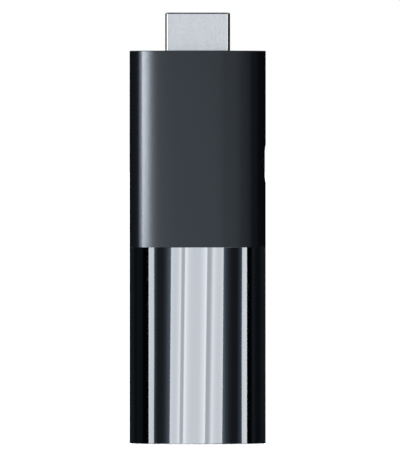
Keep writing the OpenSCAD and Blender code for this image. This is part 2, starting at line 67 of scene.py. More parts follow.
def new_material(name, **surface):
    """Starts a material whose values go straight onto its surface shader's sockets, and gives it back
    with the object's own coordinates, where its patterns start."""
    material = bpy.data.materials.new(name)
    material.use_nodes = True
    shader = material.node_tree.nodes["Principled BSDF"]
    for socket, value in surface.items():
        shader.inputs[socket.replace("_", " ")].default_value = value
    return material, material.node_tree.nodes.new("ShaderNodeTexCoord").outputs["Object"]


def add(material, kind, settings=None, inputs=None, to=None):
    """Adds a node with its settings, its values or links in, and its output's link to the surface."""
    tree = material.node_tree
    node = tree.nodes.new(kind)
    for name, value in (settings or {}).items():
        setattr(node, name, value)
    for name, value in (inputs or {}).items():
        socket = node.inputs[name] if isinstance(name, int) else [
            s for s in node.inputs if s.enabled and s.name == name][0]
        if isinstance(value, bpy.types.Node):
            value = [s for s in value.outputs if s.enabled][0]
        if isinstance(value, bpy.types.NodeSocket):
            tree.links.new(value, socket)
        else:
            socket.default_value = value
    if to:
        result = [s for s in node.outputs if s.enabled][0]
        tree.links.new(result, tree.nodes["Principled BSDF"].inputs[to])
    return node


def refinish(material, *nodes):
    """Gives CAD nodes that keep their own shape their finish."""
    for node in nodes:
        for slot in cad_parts[node].material_slots:
            slot.material = material


BOARD_T, TRACK_PITCH, VIA_PITCH, VIA_D = 1.0 * MM, 0.6 * MM, 1.9 * MM, 0.4 * MM
MASK_T, GLASS_THREAD = 0.004 * MM, 0.5 * MM
board_y = BOARD_T / 2

# A wave texture turns by this many radians for each unit of length, and by half as many along a
# diagonal, so its scale follows from the distance between two threads.
WAVE_TURN = 20.0

# Green mask over copper: satin gloss, paler where a track lies under it, with small bright vias.
# The routed edges show the bare laminate, yellow-brown with lighter glass threads.
masked_board, place = new_material("solder_masked_glass_laminate", IOR=1.5)
axes = add(masked_board, "ShaderNodeSeparateXYZ", inputs={"Vector": place})
flat = add(masked_board, "ShaderNodeCombineXYZ", inputs={"X": axes.outputs["Z"], "Y": axes.outputs["X"]})
tracks = add(masked_board, "ShaderNodeTexBrick", {"offset": 0.37}, {
    "Vector": flat, "Scale": 1 / TRACK_PITCH, "Mortar Size": 0.12, "Mortar Smooth": 0.2,
    "Brick Width": 9.0, "Row Height": 1.0,
    "Color1": linear("#0d3d26"), "Color2": linear("#0f4229"), "Mortar": linear("#1d6a43")})
holes = add(masked_board, "ShaderNodeTexVoronoi", {"voronoi_dimensions": "2D"}, {
    "Vector": flat, "Scale": 1 / VIA_PITCH})
via = add(masked_board, "ShaderNodeMath", {"operation": "LESS_THAN"}, {0: holes, 1: VIA_D / VIA_PITCH / 2})
face = add(masked_board, "ShaderNodeMix", {"data_type": "RGBA"}, {
    "Factor": via, "A": tracks, "B": linear("#c9b98a")})
threads = add(masked_board, "ShaderNodeTexWave", {"bands_direction": "DIAGONAL"}, {
    "Vector": place, "Scale": 4 * pi / WAVE_TURN / GLASS_THREAD, "Distortion": 3.0})
edge = add(masked_board, "ShaderNodeMix", {"data_type": "RGBA"}, {
    "Factor": threads.outputs["Fac"], "A": linear("#7d7a46"), "B": linear("#a39c66")})
depth = add(masked_board, "ShaderNodeMath", {"operation": "ABSOLUTE"}, {0: axes.outputs["Y"]})
on_face = add(masked_board, "ShaderNodeMath", {"operation": "GREATER_THAN"}, {
    0: depth, 1: board_y - MASK_T})
add(masked_board, "ShaderNodeMix", {"data_type": "RGBA"}, {"Factor": on_face, "A": edge, "B": face},
    to="Base Color")
add(masked_board, "ShaderNodeMapRange", inputs={"Value": on_face, "To Min": 0.75, "To Max": 0.32},
    to="Roughness")
add(masked_board, "ShaderNodeBump", inputs={
    "Height": tracks.outputs["Fac"], "Strength": 0.4, "Distance": 0.03 * MM}, to="Normal")
refinish(masked_board, "main_board")


# Main processor: a silicon die on a small laminate, soldered by balls and moulded over in black
# epoxy. Like all the chips here it is bare of any marking but the dot at its first contact.

def arcs_about(corners, radius):
    """Arcs of an outline at a distance round a convex ring of corners, listed anticlockwise."""
    arcs = []
    for i, corner in enumerate(corners):
        before, after = corners[i - 1], corners[(i + 1) % len(corners)]
        first = Vector((corner[1] - before[1], before[0] - corner[0]))
        last = Vector((after[1] - corner[1], corner[0] - after[0]))
        start = atan2(first.y, first.x)
        arcs.append((corner, start, start + first.angle(last), radius))
    return arcs


def path_round(arcs, step):
    """Centre, direction and radius of each point round a closed outline of arcs, anticlockwise.
    An arc is (centre, first angle, last angle, radius)."""
    path, same_point = [], 0.001 * MM
    for centre, first, last, radius in arcs:
        count = max(2, round((last - first) * max(radius, MM) / step))
        for i in range(count + 1):
            angle = first + (last - first) * i / count
            path.append((Vector(centre), Vector((cos(angle), sin(angle))), radius))
    points = [centre + direction * radius for centre, direction, radius in path]
    return [p for i, p in enumerate(path) if (points[i] - points[i - 1]).length > same_point]


def rectangle(width, length, radius, step=0.2 * MM):
    """Path round a rectangle with rounded corners."""
    x, y = width / 2 - radius, length / 2 - radius
    return path_round(arcs_about([(-x, -y), (x, -y), (x, y), (-x, y)], radius), step)


def circle(radius, step=0.1 * MM, centre=(0, 0)):
    """Path round a circle."""
    return path_round([(centre, 0, 2 * pi, radius)], step)


def sweep(path, profile):
    """One ring of points for each (inset, height) of a profile, all round the path."""
    return [[Vector((*(centre + direction * (radius - inset)), height)) for centre, direction, radius in path]
            for inset, height in profile]


def skin(name, rings, close=False, places=(Matrix(),)):
    """Closed mesh over rings of points, with a cap on each end or the last ring joined to the first.
    It is set out once at each place."""
    bm = bmesh.new()
    for place in places:
        rows = [[bm.verts.new(place @ point) for point in ring] for ring in rings]
        for a, b in zip(rows, rows[1:] + rows[:1] if close else rows[1:]):
            for i in range(len(a)):
                bm.faces.new((a[i - 1], a[i], b[i], b[i - 1]))
        if not close:
            bm.faces.new(rows[0])
            bm.faces.new(rows[-1])
    bmesh.ops.recalc_face_normals(bm, faces=bm.faces)
    mesh = bpy.data.meshes.new(name)
    bm.to_mesh(mesh)
    bm.free()
    piece = bpy.data.objects.new(name, mesh)
    bpy.context.scene.collection.objects.link(piece)
    return piece


def combine(piece, how, *tools):
    """Cuts the tools out of a piece or joins them to it, and keeps the result as its mesh."""
    for tool in tools:
        modifier = piece.modifiers.new("combine", "BOOLEAN")
        modifier.operation, modifier.solver, modifier.object = how, "EXACT", tool
    bpy.context.view_layer.update()
    result = bpy.data.meshes.new_from_object(piece.evaluated_get(bpy.context.evaluated_depsgraph_get()))
    piece.modifiers.clear()
    piece.data = result
    result.name = piece.name
    for tool in tools:
        bpy.data.objects.remove(tool)


def wall_normal(arcs, at):
    """Outward normal of the outline at a point that lies on one of its arcs."""
    near, slack = 0.01 * MM, 1e-3
    for centre, first, last, radius in arcs:
        out = Vector((at.x - centre[0], at.y - centre[1]))
        if abs(out.length - radius) < near:
            turned = (atan2(out.y, out.x) - first) % (2 * pi)
            if turned < last - first + slack or turned > 2 * pi - slack:
                return Vector((out.x, out.y, 0)).normalized()
    return None


SHARP = radians(35)


def shade(piece, wall=None):
    """Smooth shading with sharp edges. Each corner takes the mean of the faces that meet there, weighted
    by their area, so that flat faces stay flat; a wall's arcs give its corners their exact normals."""
    mesh = piece.data
    mesh.polygons.foreach_set("use_smooth", [True] * len(mesh.polygons))
    mesh.set_sharp_from_angle(angle=SHARP)
    faces_at = [[] for _ in mesh.vertices]
    for face in mesh.polygons:
        for v in face.vertices:
            faces_at[v].append((face.normal.copy(), face.area))
    upright, alike, smooth = 0.02, 0.9, cos(SHARP)
    normals = [None] * len(mesh.loops)
    for face in mesh.polygons:
        for k, v in zip(face.loop_indices, face.vertices):
            near = (normal * area for normal, area in faces_at[v] if normal.dot(face.normal) > smooth)
            normals[k] = sum(near, Vector()).normalized()
            if wall and abs(face.normal.z) < upright:
                exact = wall_normal(wall, mesh.vertices[v].co)
                if exact and exact.dot(face.normal) > alike:
                    normals[k] = exact
    mesh.normals_split_custom_set(normals)


def dress(piece, material, slot, *stands_for, wall=None):
    """Gives a new piece its shading and material and lets it stand for its CAD nodes. Its slot is not used.
    """
    shade(piece, wall)
    piece.data.materials.clear()
    piece.data.materials.append(material)
    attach(piece, "root")
    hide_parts(*stands_for)


FRONT, REAR = -1, 1


def on_board(side, x, z, lift=0):
    """Place on a face of the board: there local Z points away from the board and local Y up the stick."""
    y = side * (board_y + lift)
    return Matrix(((-side, 0, 0, x), (0, 0, side, y), (0, 1, 0, z), (0, 0, 0, 1)))


def middle(node):
    """Middle of a CAD node along X and Z."""
    low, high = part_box(node)
    return (low.x + high.x) / 2, (low.z + high.z) / 2


SOFT_EDGE, MOULD_R, DRAFT = 0.05 * MM, 0.12 * MM, 0.06 * MM

# Shallow cutters reach this far past the surface that they open.
PAST = 0.1 * MM


def mould_rings(width, length, low, high, draft=DRAFT):
    """Rings of a block moulded in resin, with drafted sides and a slightly softened top edge."""
    return sweep(rectangle(width, length, MOULD_R), [
        (0, low), (0, low + SOFT_EDGE), (draft, high - SOFT_EDGE), (draft + SOFT_EDGE, high)])


def chip(name, node, width, length, border, dot_inset, places):
    """Mould on a laminate that stands out round it by a border, with a dot in its first corner."""
    outline = rectangle(width, length, LAMINATE_R)
    substrate = skin(name + "_substrate", sweep(outline, [(0, 0), (0, LAMINATE_T)]), places=places)
    dress(substrate, chip_laminate, "circuit_board", node)
    mould = skin(name + "_mould", mould_rings(width - 2 * border, length - 2 * border, LAMINATE_T, CHIP_H),
                 places=places)
    corner = Matrix.Translation((dot_inset - width / 2, length / 2 - dot_inset, 0))
    dots = skin("dots", sweep(circle(DOT_D / 2), [(0, CHIP_H - DOT_DEPTH), (0, CHIP_H + PAST)]),
                places=[p @ corner for p in places])
    combine(mould, "DIFFERENCE", dots)
    dress(mould, chip_epoxy, "chip_resin", node)


PROCESSOR_W, PROCESSOR_BORDER, PROCESSOR_DOT_INSET = 12 * MM, 0.25 * MM, 1.2 * MM
CHIP_H, LAMINATE_T, LAMINATE_R = 1.0 * MM, 0.32 * MM, 0.1 * MM
DOT_D, DOT_DEPTH = 0.7 * MM, 0.06 * MM

# Epoxy filled with ground silica: matt near-black with fine pale specks and a dry, even sheen.
chip_epoxy, place = new_material("silica_filled_epoxy", IOR=1.55, Roughness=0.55)
FILLER = 0.06 * MM
specks = add(chip_epoxy, "ShaderNodeTexNoise", inputs={"Vector": place, "Scale": 1 / FILLER, "Detail": 2.0})
add(chip_epoxy, "ShaderNodeMix", {"data_type": "RGBA"}, {
    "Factor": specks, "A": linear("#191a1c"), "B": linear("#3a3c3f")}, to="Base Color")
add(chip_epoxy, "ShaderNodeBump", inputs={"Height": specks, "Strength": 0.3, "Distance": 0.008 * MM},
    to="Normal")

# Chip laminate: dark green, satin, with fine threads a tenth of a millimetre apart.
chip_laminate, place = new_material("bismaleimide_laminate", IOR=1.5, Roughness=0.45)
FINE_THREAD = 0.1 * MM
weave = add(chip_laminate, "ShaderNodeTexWave", inputs={
    "Vector": place, "Scale": 2 * pi / WAVE_TURN / FINE_THREAD, "Distortion": 1.5})
add(chip_laminate, "ShaderNodeMix", {"data_type": "RGBA"}, {
    "Factor": weave.outputs["Fac"], "A": linear("#14422c"), "B": linear("#1f5a3c")}, to="Base Color")

chip("soc", "soc_chip", PROCESSOR_W, PROCESSOR_W, PROCESSOR_BORDER, PROCESSOR_DOT_INSET,
     [on_board(FRONT, *middle("soc_chip"))])


# Memory and flash chips: the same kind of moulded block on a thin laminate, soldered by balls. Two
# memory chips lie beside each other above the processor, and the flash chip behind the board.

MEMORY_W, MEMORY_L, CHIP_GAP = 7.5 * MM, 11 * MM, 0.7 * MM
FLASH_W, FLASH_L, CHIP_BORDER, DOT_INSET = 11.5 * MM, 13 * MM, 0.15 * MM, 1 * MM
memory_places = [on_board(FRONT, s * (MEMORY_W + CHIP_GAP) / 2, middle("memory_chips")[1]) for s in (-1, 1)]
chip("memory", "memory_chips", MEMORY_W, MEMORY_L, CHIP_BORDER, DOT_INSET, memory_places)
chip("flash", "flash_chip", FLASH_W, FLASH_L, CHIP_BORDER, DOT_INSET,
     [on_board(REAR, *middle("flash_chip"))])


# Power controller: a flat leadless chip, moulded in epoxy and soldered behind the board, level with
# the power socket. Tinned pads show along its four sides.

POWER_W, POWER_H, POWER_DRAFT, POWER_BORDER = 5 * MM, 0.9 * MM, 0.02 * MM, 0.03 * MM
POWER_DOT_D, POWER_DOT_DEPTH, POWER_DOT_INSET = 0.5 * MM, 0.05 * MM, 0.7 * MM
PADS, PAD_PITCH, PAD_W, PAD_L, PAD_H = 8, 0.5 * MM, 0.25 * MM, 0.3 * MM, 0.2 * MM
power_place = on_board(REAR, *middle("power_chip"))
power_mould = skin("power_mould", mould_rings(
    POWER_W - 2 * POWER_BORDER, POWER_W - 2 * POWER_BORDER, 0, POWER_H, POWER_DRAFT), places=[power_place])
dot_x = POWER_W / 2 - POWER_DOT_INSET
power_dot = skin("power_dot", sweep(circle(POWER_DOT_D / 2), [
    (0, POWER_H - POWER_DOT_DEPTH), (0, POWER_H + PAST)]),
    places=[power_place @ Matrix.Translation((-dot_x, dot_x, 0))])
combine(power_mould, "DIFFERENCE", power_dot)
dress(power_mould, chip_epoxy, "chip_resin", "power_chip")

# Matt tin plating: soft grey-white metal, slightly uneven where it was reflowed.
tin_plate, place = new_material(
    "reflowed_tin_plate", Base_Color=linear("#c9cbcd"), Metallic=1.0, Roughness=0.38)
REFLOW = 0.2 * MM
waves = add(tin_plate, "ShaderNodeTexNoise", inputs={"Vector": place, "Scale": 1 / REFLOW, "Detail": 3.0})
add(tin_plate, "ShaderNodeMapRange", inputs={"Value": waves, "To Min": 0.25, "To Max": 0.5}, to="Roughness")
add(tin_plate, "ShaderNodeBump", inputs={"Height": waves, "Strength": 0.4, "Distance": 0.02 * MM},
    to="Normal")

pad_places = [power_place @ Matrix.Rotation(quarter * pi / 2, 4, "Z")
              @ Matrix.Translation(((i - (PADS - 1) / 2) * PAD_PITCH, (POWER_W - PAD_L) / 2, 0))
              for quarter in range(4) for i in range(PADS)]
power_pads = skin("power_pads", sweep(rectangle(PAD_W, PAD_L, SOFT_EDGE), [(0, 0), (0, PAD_H)]),
                  places=pad_places)
dress(power_pads, tin_plate, "socket_steel", "power_chip")


# Inductors: three coils pressed into iron powder, one above another behind the board. A tinned plate
# is folded under each side of them, and solders them to the board.

def fillet(inset, height, radius, first, last, count=5):
    """Points of a rounding in a profile: its centre, radius and two angles, 0 outward and 90 up."""
    angles = [radians(first + (last - first) * i / count) for i in range(count + 1)]
    return [(inset - radius * cos(a), height + radius * sin(a)) for a in angles]


INDUCTOR_W, INDUCTOR_H, INDUCTOR_PITCH = 3 * MM, 1.2 * MM, 3.6 * MM
INDUCTOR_FOOT, INDUCTOR_R, INDUCTOR_CORNER = 0.05 * MM, 0.12 * MM, 0.25 * MM
PLATE_T, PLATE_W, PLATE_H, PLATE_R, PLATE_BEVEL = 0.12 * MM, 2.2 * MM, 0.8 * MM, 0.04 * MM, 0.03 * MM
inductor_x, inductor_z = middle("power_inductors")
inductor_places = [on_board(REAR, inductor_x, inductor_z + i * INDUCTOR_PITCH) for i in (-1, 0, 1)]
inductors = skin("inductor_bodies", sweep(
    rectangle(INDUCTOR_W - 2 * PLATE_T, INDUCTOR_W, INDUCTOR_CORNER), [
        (INDUCTOR_FOOT, 0), (0, INDUCTOR_FOOT),
        *fillet(INDUCTOR_R, INDUCTOR_H - INDUCTOR_R, INDUCTOR_R, 0, 90, 3)]), places=inductor_places)

# Pressed iron powder in resin: dark slate grey, matt and grainy.
iron_powder, place = new_material("pressed_iron_powder", IOR=1.6, Roughness=0.7)
POWDER = 0.08 * MM
grains = add(iron_powder, "ShaderNodeTexNoise", inputs={"Vector": place, "Scale": 1 / POWDER, "Detail": 3.0})
add(iron_powder, "ShaderNodeMix", {"data_type": "RGBA"}, {
    "Factor": grains, "A": linear("#34363a"), "B": linear("#5b5e63")}, to="Base Color")
add(iron_powder, "ShaderNodeBump", inputs={"Height": grains, "Strength": 0.5, "Distance": 0.02 * MM},
    to="Normal")
dress(inductors, iron_powder, "ferrite", "power_inductors")
plate_places = [p @ Matrix.Translation((s * (INDUCTOR_W - PLATE_T) / 2, 0, 0))
                for p in inductor_places for s in (-1, 1)]
inductor_ends = skin("inductor_ends", sweep(rectangle(PLATE_T, PLATE_W, PLATE_R), [
    (0, 0), (0, PLATE_H - SOFT_EDGE), (PLATE_BEVEL, PLATE_H)]), places=plate_places)
dress(inductor_ends, tin_plate, "socket_steel", "power_inductors")


# Crystals: quartz blanks in a tray of fired ceramic, closed by a seam-welded nickel-iron lid. One is
# soldered to each face of the board.

CRYSTAL_W, CRYSTAL_L, CRYSTAL_H, TRAY_H, CRYSTAL_X = 3.2 * MM, 2.5 * MM, 0.7 * MM, 0.45 * MM, 5 * MM
LID_BORDER, LID_EDGE_H, LID_FLANGE_W, LID_FLANGE_H = 0.15 * MM, 0.08 * MM, 0.16 * MM, 0.1 * MM
LID_STEP_W, LID_R, LID_CORNER, TRAY_CORNER = 0.24 * MM, 0.06 * MM, 0.25 * MM, 0.2 * MM
crystal_z = middle("crystals")[1]
crystal_places = [on_board(REAR, CRYSTAL_X, crystal_z), on_board(FRONT, -CRYSTAL_X, crystal_z)]
tray_ring = rectangle(CRYSTAL_W, CRYSTAL_L, TRAY_CORNER)
trays = skin("crystal_trays", sweep(tray_ring, [(0, 0), (0, TRAY_H)]), places=crystal_places)

# Co-fired alumina: warm dark ceramic, dry and slightly porous.
tray_ceramic, place = new_material("cofired_alumina", IOR=1.7, Roughness=0.6)
PORES = 0.07 * MM
pores = add(tray_ceramic, "ShaderNodeTexNoise", inputs={"Vector": place, "Scale": 1 / PORES, "Detail": 2.0})
add(tray_ceramic, "ShaderNodeMix", {"data_type": "RGBA"}, {
    "Factor": pores, "A": linear("#3d3a36"), "B": linear("#5a564f")}, to="Base Color")
dress(trays, tray_ceramic, "crystal_metal", "crystals")
lids = skin("crystal_lids", sweep(
    rectangle(CRYSTAL_W - 2 * LID_BORDER, CRYSTAL_L - 2 * LID_BORDER, LID_CORNER), [
        (0, TRAY_H), (0, TRAY_H + LID_EDGE_H), (LID_FLANGE_W, TRAY_H + LID_FLANGE_H),
        *fillet(LID_STEP_W, CRYSTAL_H - LID_R, LID_R, 0, 90, 3)]), places=crystal_places)

# Nickel-iron lid: pale warm metal, satin from tumbling, with hair-fine scratches in all directions.
lid_metal, place = new_material(
    "tumbled_nickel_iron", Base_Color=linear("#bdb9b0"), Metallic=1.0, Roughness=0.3)
SCRATCH = 0.05 * MM
scratches = add(lid_metal, "ShaderNodeTexNoise", inputs={
    "Vector": place, "Scale": 1 / SCRATCH, "Detail": 1.0, "Distortion": 4.0})
add(lid_metal, "ShaderNodeMapRange", inputs={"Value": scratches, "To Min": 0.22, "To Max": 0.42},
    to="Roughness")
dress(lids, lid_metal, "crystal_metal", "crystals")


# Capacitors: layered ceramic blocks with tinned silver ends, soldered by them. Larger ones lie under
# the rear shield and a row of small ones in front below the plug.

LARGE_CAPACITOR, SMALL_CAPACITOR = (1.6 * MM, 0.8 * MM, 0.8 * MM), (1.0 * MM, 0.5 * MM, 0.5 * MM)
LARGE_PITCH_X, LARGE_PITCH_Z, LARGE_RISE = 2.8 * MM, 2 * MM, 2.6 * MM
SMALL_PITCH, SMALL_DROP = 2 * MM, 1 * MM
METAL_END, END_STEP, BLOCK_R, END_R, END_CORNER = 0.2, 0.02 * MM, 0.04 * MM, 0.06 * MM, 0.07 * MM
shield_low, led_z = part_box("front_shield_frame")[0].z, middle("status_led")[1]
large_places = [on_board(REAR, i * LARGE_PITCH_X, shield_low + LARGE_RISE + k * LARGE_PITCH_Z)
                for i in range(-2, 3) for k in (0, 1)]
small_places = [on_board(FRONT, i * SMALL_PITCH, led_z - SMALL_DROP) for i in range(-1, 3)]


def both_ends(width, places):
    """Places of both metal ends of small parts that lie along local X."""
    return [p @ Matrix.Translation((s * width * (1 - METAL_END) / 2, 0, 0)) for p in places for s in (-1, 1)]


# Barium titanate ceramic: fired to a warm tan-brown with a smooth, waxy surface.
capacitor_ceramic, place = new_material("barium_titanate_ceramic", IOR=1.8, Roughness=0.4)
LAYERS = 0.12 * MM
cloudy = add(capacitor_ceramic, "ShaderNodeTexNoise", inputs={
    "Vector": place, "Scale": 1 / LAYERS, "Detail": 2.0})
add(capacitor_ceramic, "ShaderNodeMix", {"data_type": "RGBA"}, {
    "Factor": cloudy, "A": linear("#8d6f4c"), "B": linear("#a98b64")}, to="Base Color")

for kind, (width, length, height), places in (
        ("large", LARGE_CAPACITOR, large_places), ("small", SMALL_CAPACITOR, small_places)):
    blocks = skin(kind + "_capacitor_bodies", sweep(
        rectangle(width * (1 - 2 * METAL_END) + END_STEP, length - 2 * END_STEP, SOFT_EDGE),
        [(0, 0), *fillet(BLOCK_R, height - BLOCK_R - END_STEP, BLOCK_R, 0, 90, 2)]), places=places)
    dress(blocks, capacitor_ceramic, "capacitor_ceramic", "capacitors")
    ends = skin(kind + "_capacitor_ends", sweep(
        rectangle(width * METAL_END, length, END_CORNER),
        [(END_R / 2, 0), (0, END_R / 2), *fillet(END_R, height - END_R, END_R, 0, 90, 2)]),
        places=both_ends(width, places))
    dress(ends, tin_plate, "socket_steel", "capacitors")


# Resistors: white alumina chips with a black resistive film on top under glass, one row of them in
# front and one behind the board, soldered by their tinned ends.

RESISTOR_W, RESISTOR_L, RESISTOR_H, RESISTOR_PITCH = 1.0 * MM, 0.5 * MM, 0.35 * MM, 1.6 * MM
RESISTOR_RISE, RESISTOR_DROP = 3.4 * MM, 3.2 * MM
CERAMIC_W, CERAMIC_L, CERAMIC_H, CERAMIC_R = 0.64 * MM, 0.46 * MM, 0.27 * MM, 0.04 * MM
FILM_W, FILM_L, FILM_SIDE, FILM_SINK = 0.62 * MM, 0.42 * MM, 0.03 * MM, 0.025 * MM
END_FOOT_W, END_FOOT_H = 0.02 * MM, 0.03 * MM
socket_z, board_high = 60.0 * MM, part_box("main_board")[1].z
resistor_places = [
    *[on_board(FRONT, i * RESISTOR_PITCH, socket_z + RESISTOR_RISE) for i in range(-3, 3)],
    *[on_board(REAR, i * RESISTOR_PITCH, board_high - RESISTOR_DROP) for i in range(-2, 3)]]
chip_ring = rectangle(CERAMIC_W, CERAMIC_L, CERAMIC_R)
chips = skin("resistor_chips", sweep(chip_ring, [(0, 0), (0, CERAMIC_H)]), places=resistor_places)

# Pressed alumina: clean white ceramic with a dry surface.
alumina, place = new_material("pressed_alumina", IOR=1.76, Roughness=0.5)
chalky = add(alumina, "ShaderNodeTexNoise", inputs={"Vector": place, "Scale": 1 / PORES, "Detail": 2.0})
add(alumina, "ShaderNodeMix", {"data_type": "RGBA"}, {
    "Factor": chalky, "A": linear("#d3d2cc"), "B": linear("#ebeae4")}, to="Base Color")
dress(chips, alumina, "resistor_ceramic", "resistors")
films = skin("resistor_films", sweep(rectangle(FILM_W, FILM_L, SOFT_EDGE), [
    (0, CERAMIC_H), (0, CERAMIC_H + FILM_SIDE), (FILM_SIDE, RESISTOR_H - FILM_SINK)]),
    places=resistor_places)

# Glass over the resistive film: black, rounded at its edges and glossy.
film_glass, place = new_material("fired_black_glass", IOR=1.52, Roughness=0.15)
flow = add(film_glass, "ShaderNodeTexNoise", inputs={"Vector": place, "Scale": 1 / REFLOW})
add(film_glass, "ShaderNodeMix", {"data_type": "RGBA"}, {
    "Factor": flow, "A": linear("#0f1012"), "B": linear("#1c1e22")}, to="Base Color")
dress(films, film_glass, "resistor_ceramic", "resistors")
resistor_ends = skin("resistor_ends", sweep(rectangle(RESISTOR_W * METAL_END, RESISTOR_L, SOFT_EDGE), [
    (END_FOOT_W, 0), (0, END_FOOT_H), (0, RESISTOR_H - SOFT_EDGE), (SOFT_EDGE, RESISTOR_H)]),
    places=both_ends(RESISTOR_W, resistor_places))
dress(resistor_ends, tin_plate, "socket_steel", "resistors")


# Surge protectors of the video lines: four small arrays moulded in epoxy, in a row in front below the
# plug, soldered by tinned feet along both long sides.

SURGES, SURGE_PITCH, SURGE_W, SURGE_L, SURGE_H = 4, 2.9 * MM, 1.9 * MM, 1.0 * MM, 0.5 * MM
SURGE_DRAFT, FEET, FOOT_PITCH, FOOT_W, FOOT_H = 0.04 * MM, 4, 0.45 * MM, 0.2 * MM, 0.12 * MM
FOOT_REACH, FOOT_R = 0.05 * MM, 0.03 * MM
surge_places = [on_board(FRONT, (i - (SURGES - 1) / 2) * SURGE_PITCH, middle("esd_arrays")[1])
                for i in range(SURGES)]
surge_moulds = skin("esd_moulds", mould_rings(SURGE_W, SURGE_L - 2 * FOOT_REACH, 0, SURGE_H, SURGE_DRAFT),
                    places=surge_places)
dress(surge_moulds, chip_epoxy, "chip_resin", "esd_arrays")
foot_places = [p @ Matrix.Translation(((i - (FEET - 1) / 2) * FOOT_PITCH, s * (SURGE_L - FOOT_W) / 2, 0))
               for p in surge_places for i in range(FEET) for s in (-1, 1)]
surge_feet = skin("esd_feet", sweep(rectangle(FOOT_W, FOOT_W, FOOT_R), [(0, 0), (0, FOOT_H)]),
                  places=foot_places)
dress(surge_feet, tin_plate, "socket_steel", "esd_arrays")


# Status light: a diode that shines sideways, on a white moulded base under a block of clear resin. It
# is soldered to the front of the board at its right-hand edge, next to the light guide.

LED_W, LED_L, LED_H, LED_BASE_H, LED_BLOCK_L = 0.8 * MM, 1.6 * MM, 0.6 * MM, 0.2 * MM, 1.12 * MM
LED_BLOCK_R, LED_DRAFT, LED_BEVEL = 0.08 * MM, 0.03 * MM, 0.04 * MM
led_place = on_board(FRONT, middle("status_led")[0], led_z)
led_base = skin("led_base", sweep(rectangle(LED_W, LED_L, SOFT_EDGE), [(0, 0), (0, LED_BASE_H)]),
                places=[led_place])

# White thermoplastic base: bright and slightly glossy.
led_white, place = new_material("moulded_white_polyamide", IOR=1.53, Roughness=0.4)
cast = add(led_white, "ShaderNodeTexNoise", inputs={"Vector": place, "Scale": 1 / REFLOW})
add(led_white, "ShaderNodeMix", {"data_type": "RGBA"}, {
    "Factor": cast, "A": linear("#dedcd2"), "B": linear("#efeee8")}, to="Base Color")
dress(led_base, led_white, "led_resin", "status_led")
led_block = skin("led_block", sweep(rectangle(LED_W - END_STEP, LED_BLOCK_L, LED_BLOCK_R), [
    (0, LED_BASE_H), (LED_DRAFT, LED_H - LED_BEVEL), (LED_DRAFT + LED_BEVEL, LED_H)]),
    places=[led_place])

# Clear epoxy over the diode: faintly yellow and glossy, hazed by phosphor.
led_resin, place = new_material("cast_clear_epoxy", IOR=1.54, Roughness=0.12, Transmission_Weight=0.5)
haze = add(led_resin, "ShaderNodeTexNoise", inputs={"Vector": place, "Scale": 1 / REFLOW})
add(led_resin, "ShaderNodeMix", {"data_type": "RGBA"}, {
    "Factor": haze, "A": linear("#e6dfb4"), "B": linear("#f1edd2")}, to="Base Color")
dress(led_block, led_resin, "led_resin", "status_led")


# Video plug, shell: sheet steel folded round its mandrel with a butt seam at the rear, nickel-plated.
# Its upper edge is rolled in to a round lip, and two legs clasp the edges of the board's slots.

def bar(name, low, high, radius=SOFT_EDGE):
    """Upright bar between two corners, with rounded vertical edges."""
    centre = Matrix.Translation(((low[0] + high[0]) / 2, (low[1] + high[1]) / 2, 0))
    outline = rectangle(high[0] - low[0], high[1] - low[1], radius)
    return skin(name, sweep(outline, [(0, low[2]), (0, high[2])]), places=[centre])


PLUG_W, PLUG_H, PLUG_CORNER, PLUG_BEND_Y, PLUG_BEVEL = 13.9 * MM, 4.45 * MM, 0.7 * MM, 0.6 * MM, 1.75 * MM
PLUG_SHEET, PLUG_SEAM, LEG_L, LEG_FRONT, LEG_BACK = 0.3 * MM, 0.08 * MM, 2.4 * MM, 1.1 * MM, 0.55 * MM
PLUG_STEP, SEAM_R = 0.06 * MM, 0.01 * MM
plug_low, plug_high = board_high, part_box("plug_shell")[1].z
plug_x, plug_y = PLUG_W / 2 - PLUG_CORNER, PLUG_H / 2 - PLUG_CORNER
plug_arcs = arcs_about([
    (-plug_x, -plug_y), (plug_x, -plug_y), (plug_x, PLUG_BEND_Y),
    (plug_x - PLUG_BEVEL, plug_y), (-plug_x + PLUG_BEVEL, plug_y), (-plug_x, PLUG_BEND_Y)], PLUG_CORNER)
plug_path = path_round(plug_arcs, PLUG_STEP)

# Legs reach this far into the shell that they join, and long cutters this far past a surface.
WELL_PAST = 1 * MM

# The lip is rolled in a little further along the plug than across its sheet.
LIP_R, LIP_H, LIP_STEPS, FOLD_R = 0.27 * MM, 0.36 * MM, 5, 0.03 * MM
lip_angles = [radians(90 * i / LIP_STEPS) for i in range(LIP_STEPS + 1)]
plug_shell = skin("plug_shell_folded", sweep(plug_path, [
    (0, plug_low),
    *[(LIP_R * (1 - cos(a)), plug_high - LIP_H * (1 - sin(a))) for a in lip_angles],
    *fillet(PLUG_SHEET - FOLD_R, plug_high - FOLD_R, FOLD_R, 90, 180, 2),
    (PLUG_SHEET, plug_low)]), close=True)
legs = [bar("leg", (s * PLUG_W / 2 - (s > 0) * PLUG_SHEET, -LEG_FRONT, plug_low - LEG_L),
            (s * PLUG_W / 2 + (s < 0) * PLUG_SHEET, LEG_BACK, plug_low + WELL_PAST)) for s in (-1, 1)]
combine(plug_shell, "UNION", *legs)
seam = bar("seam", (-PLUG_SEAM / 2, 0, plug_low - WELL_PAST),
           (PLUG_SEAM / 2, PLUG_H, plug_high + WELL_PAST), SEAM_R)
combine(plug_shell, "DIFFERENCE", seam)

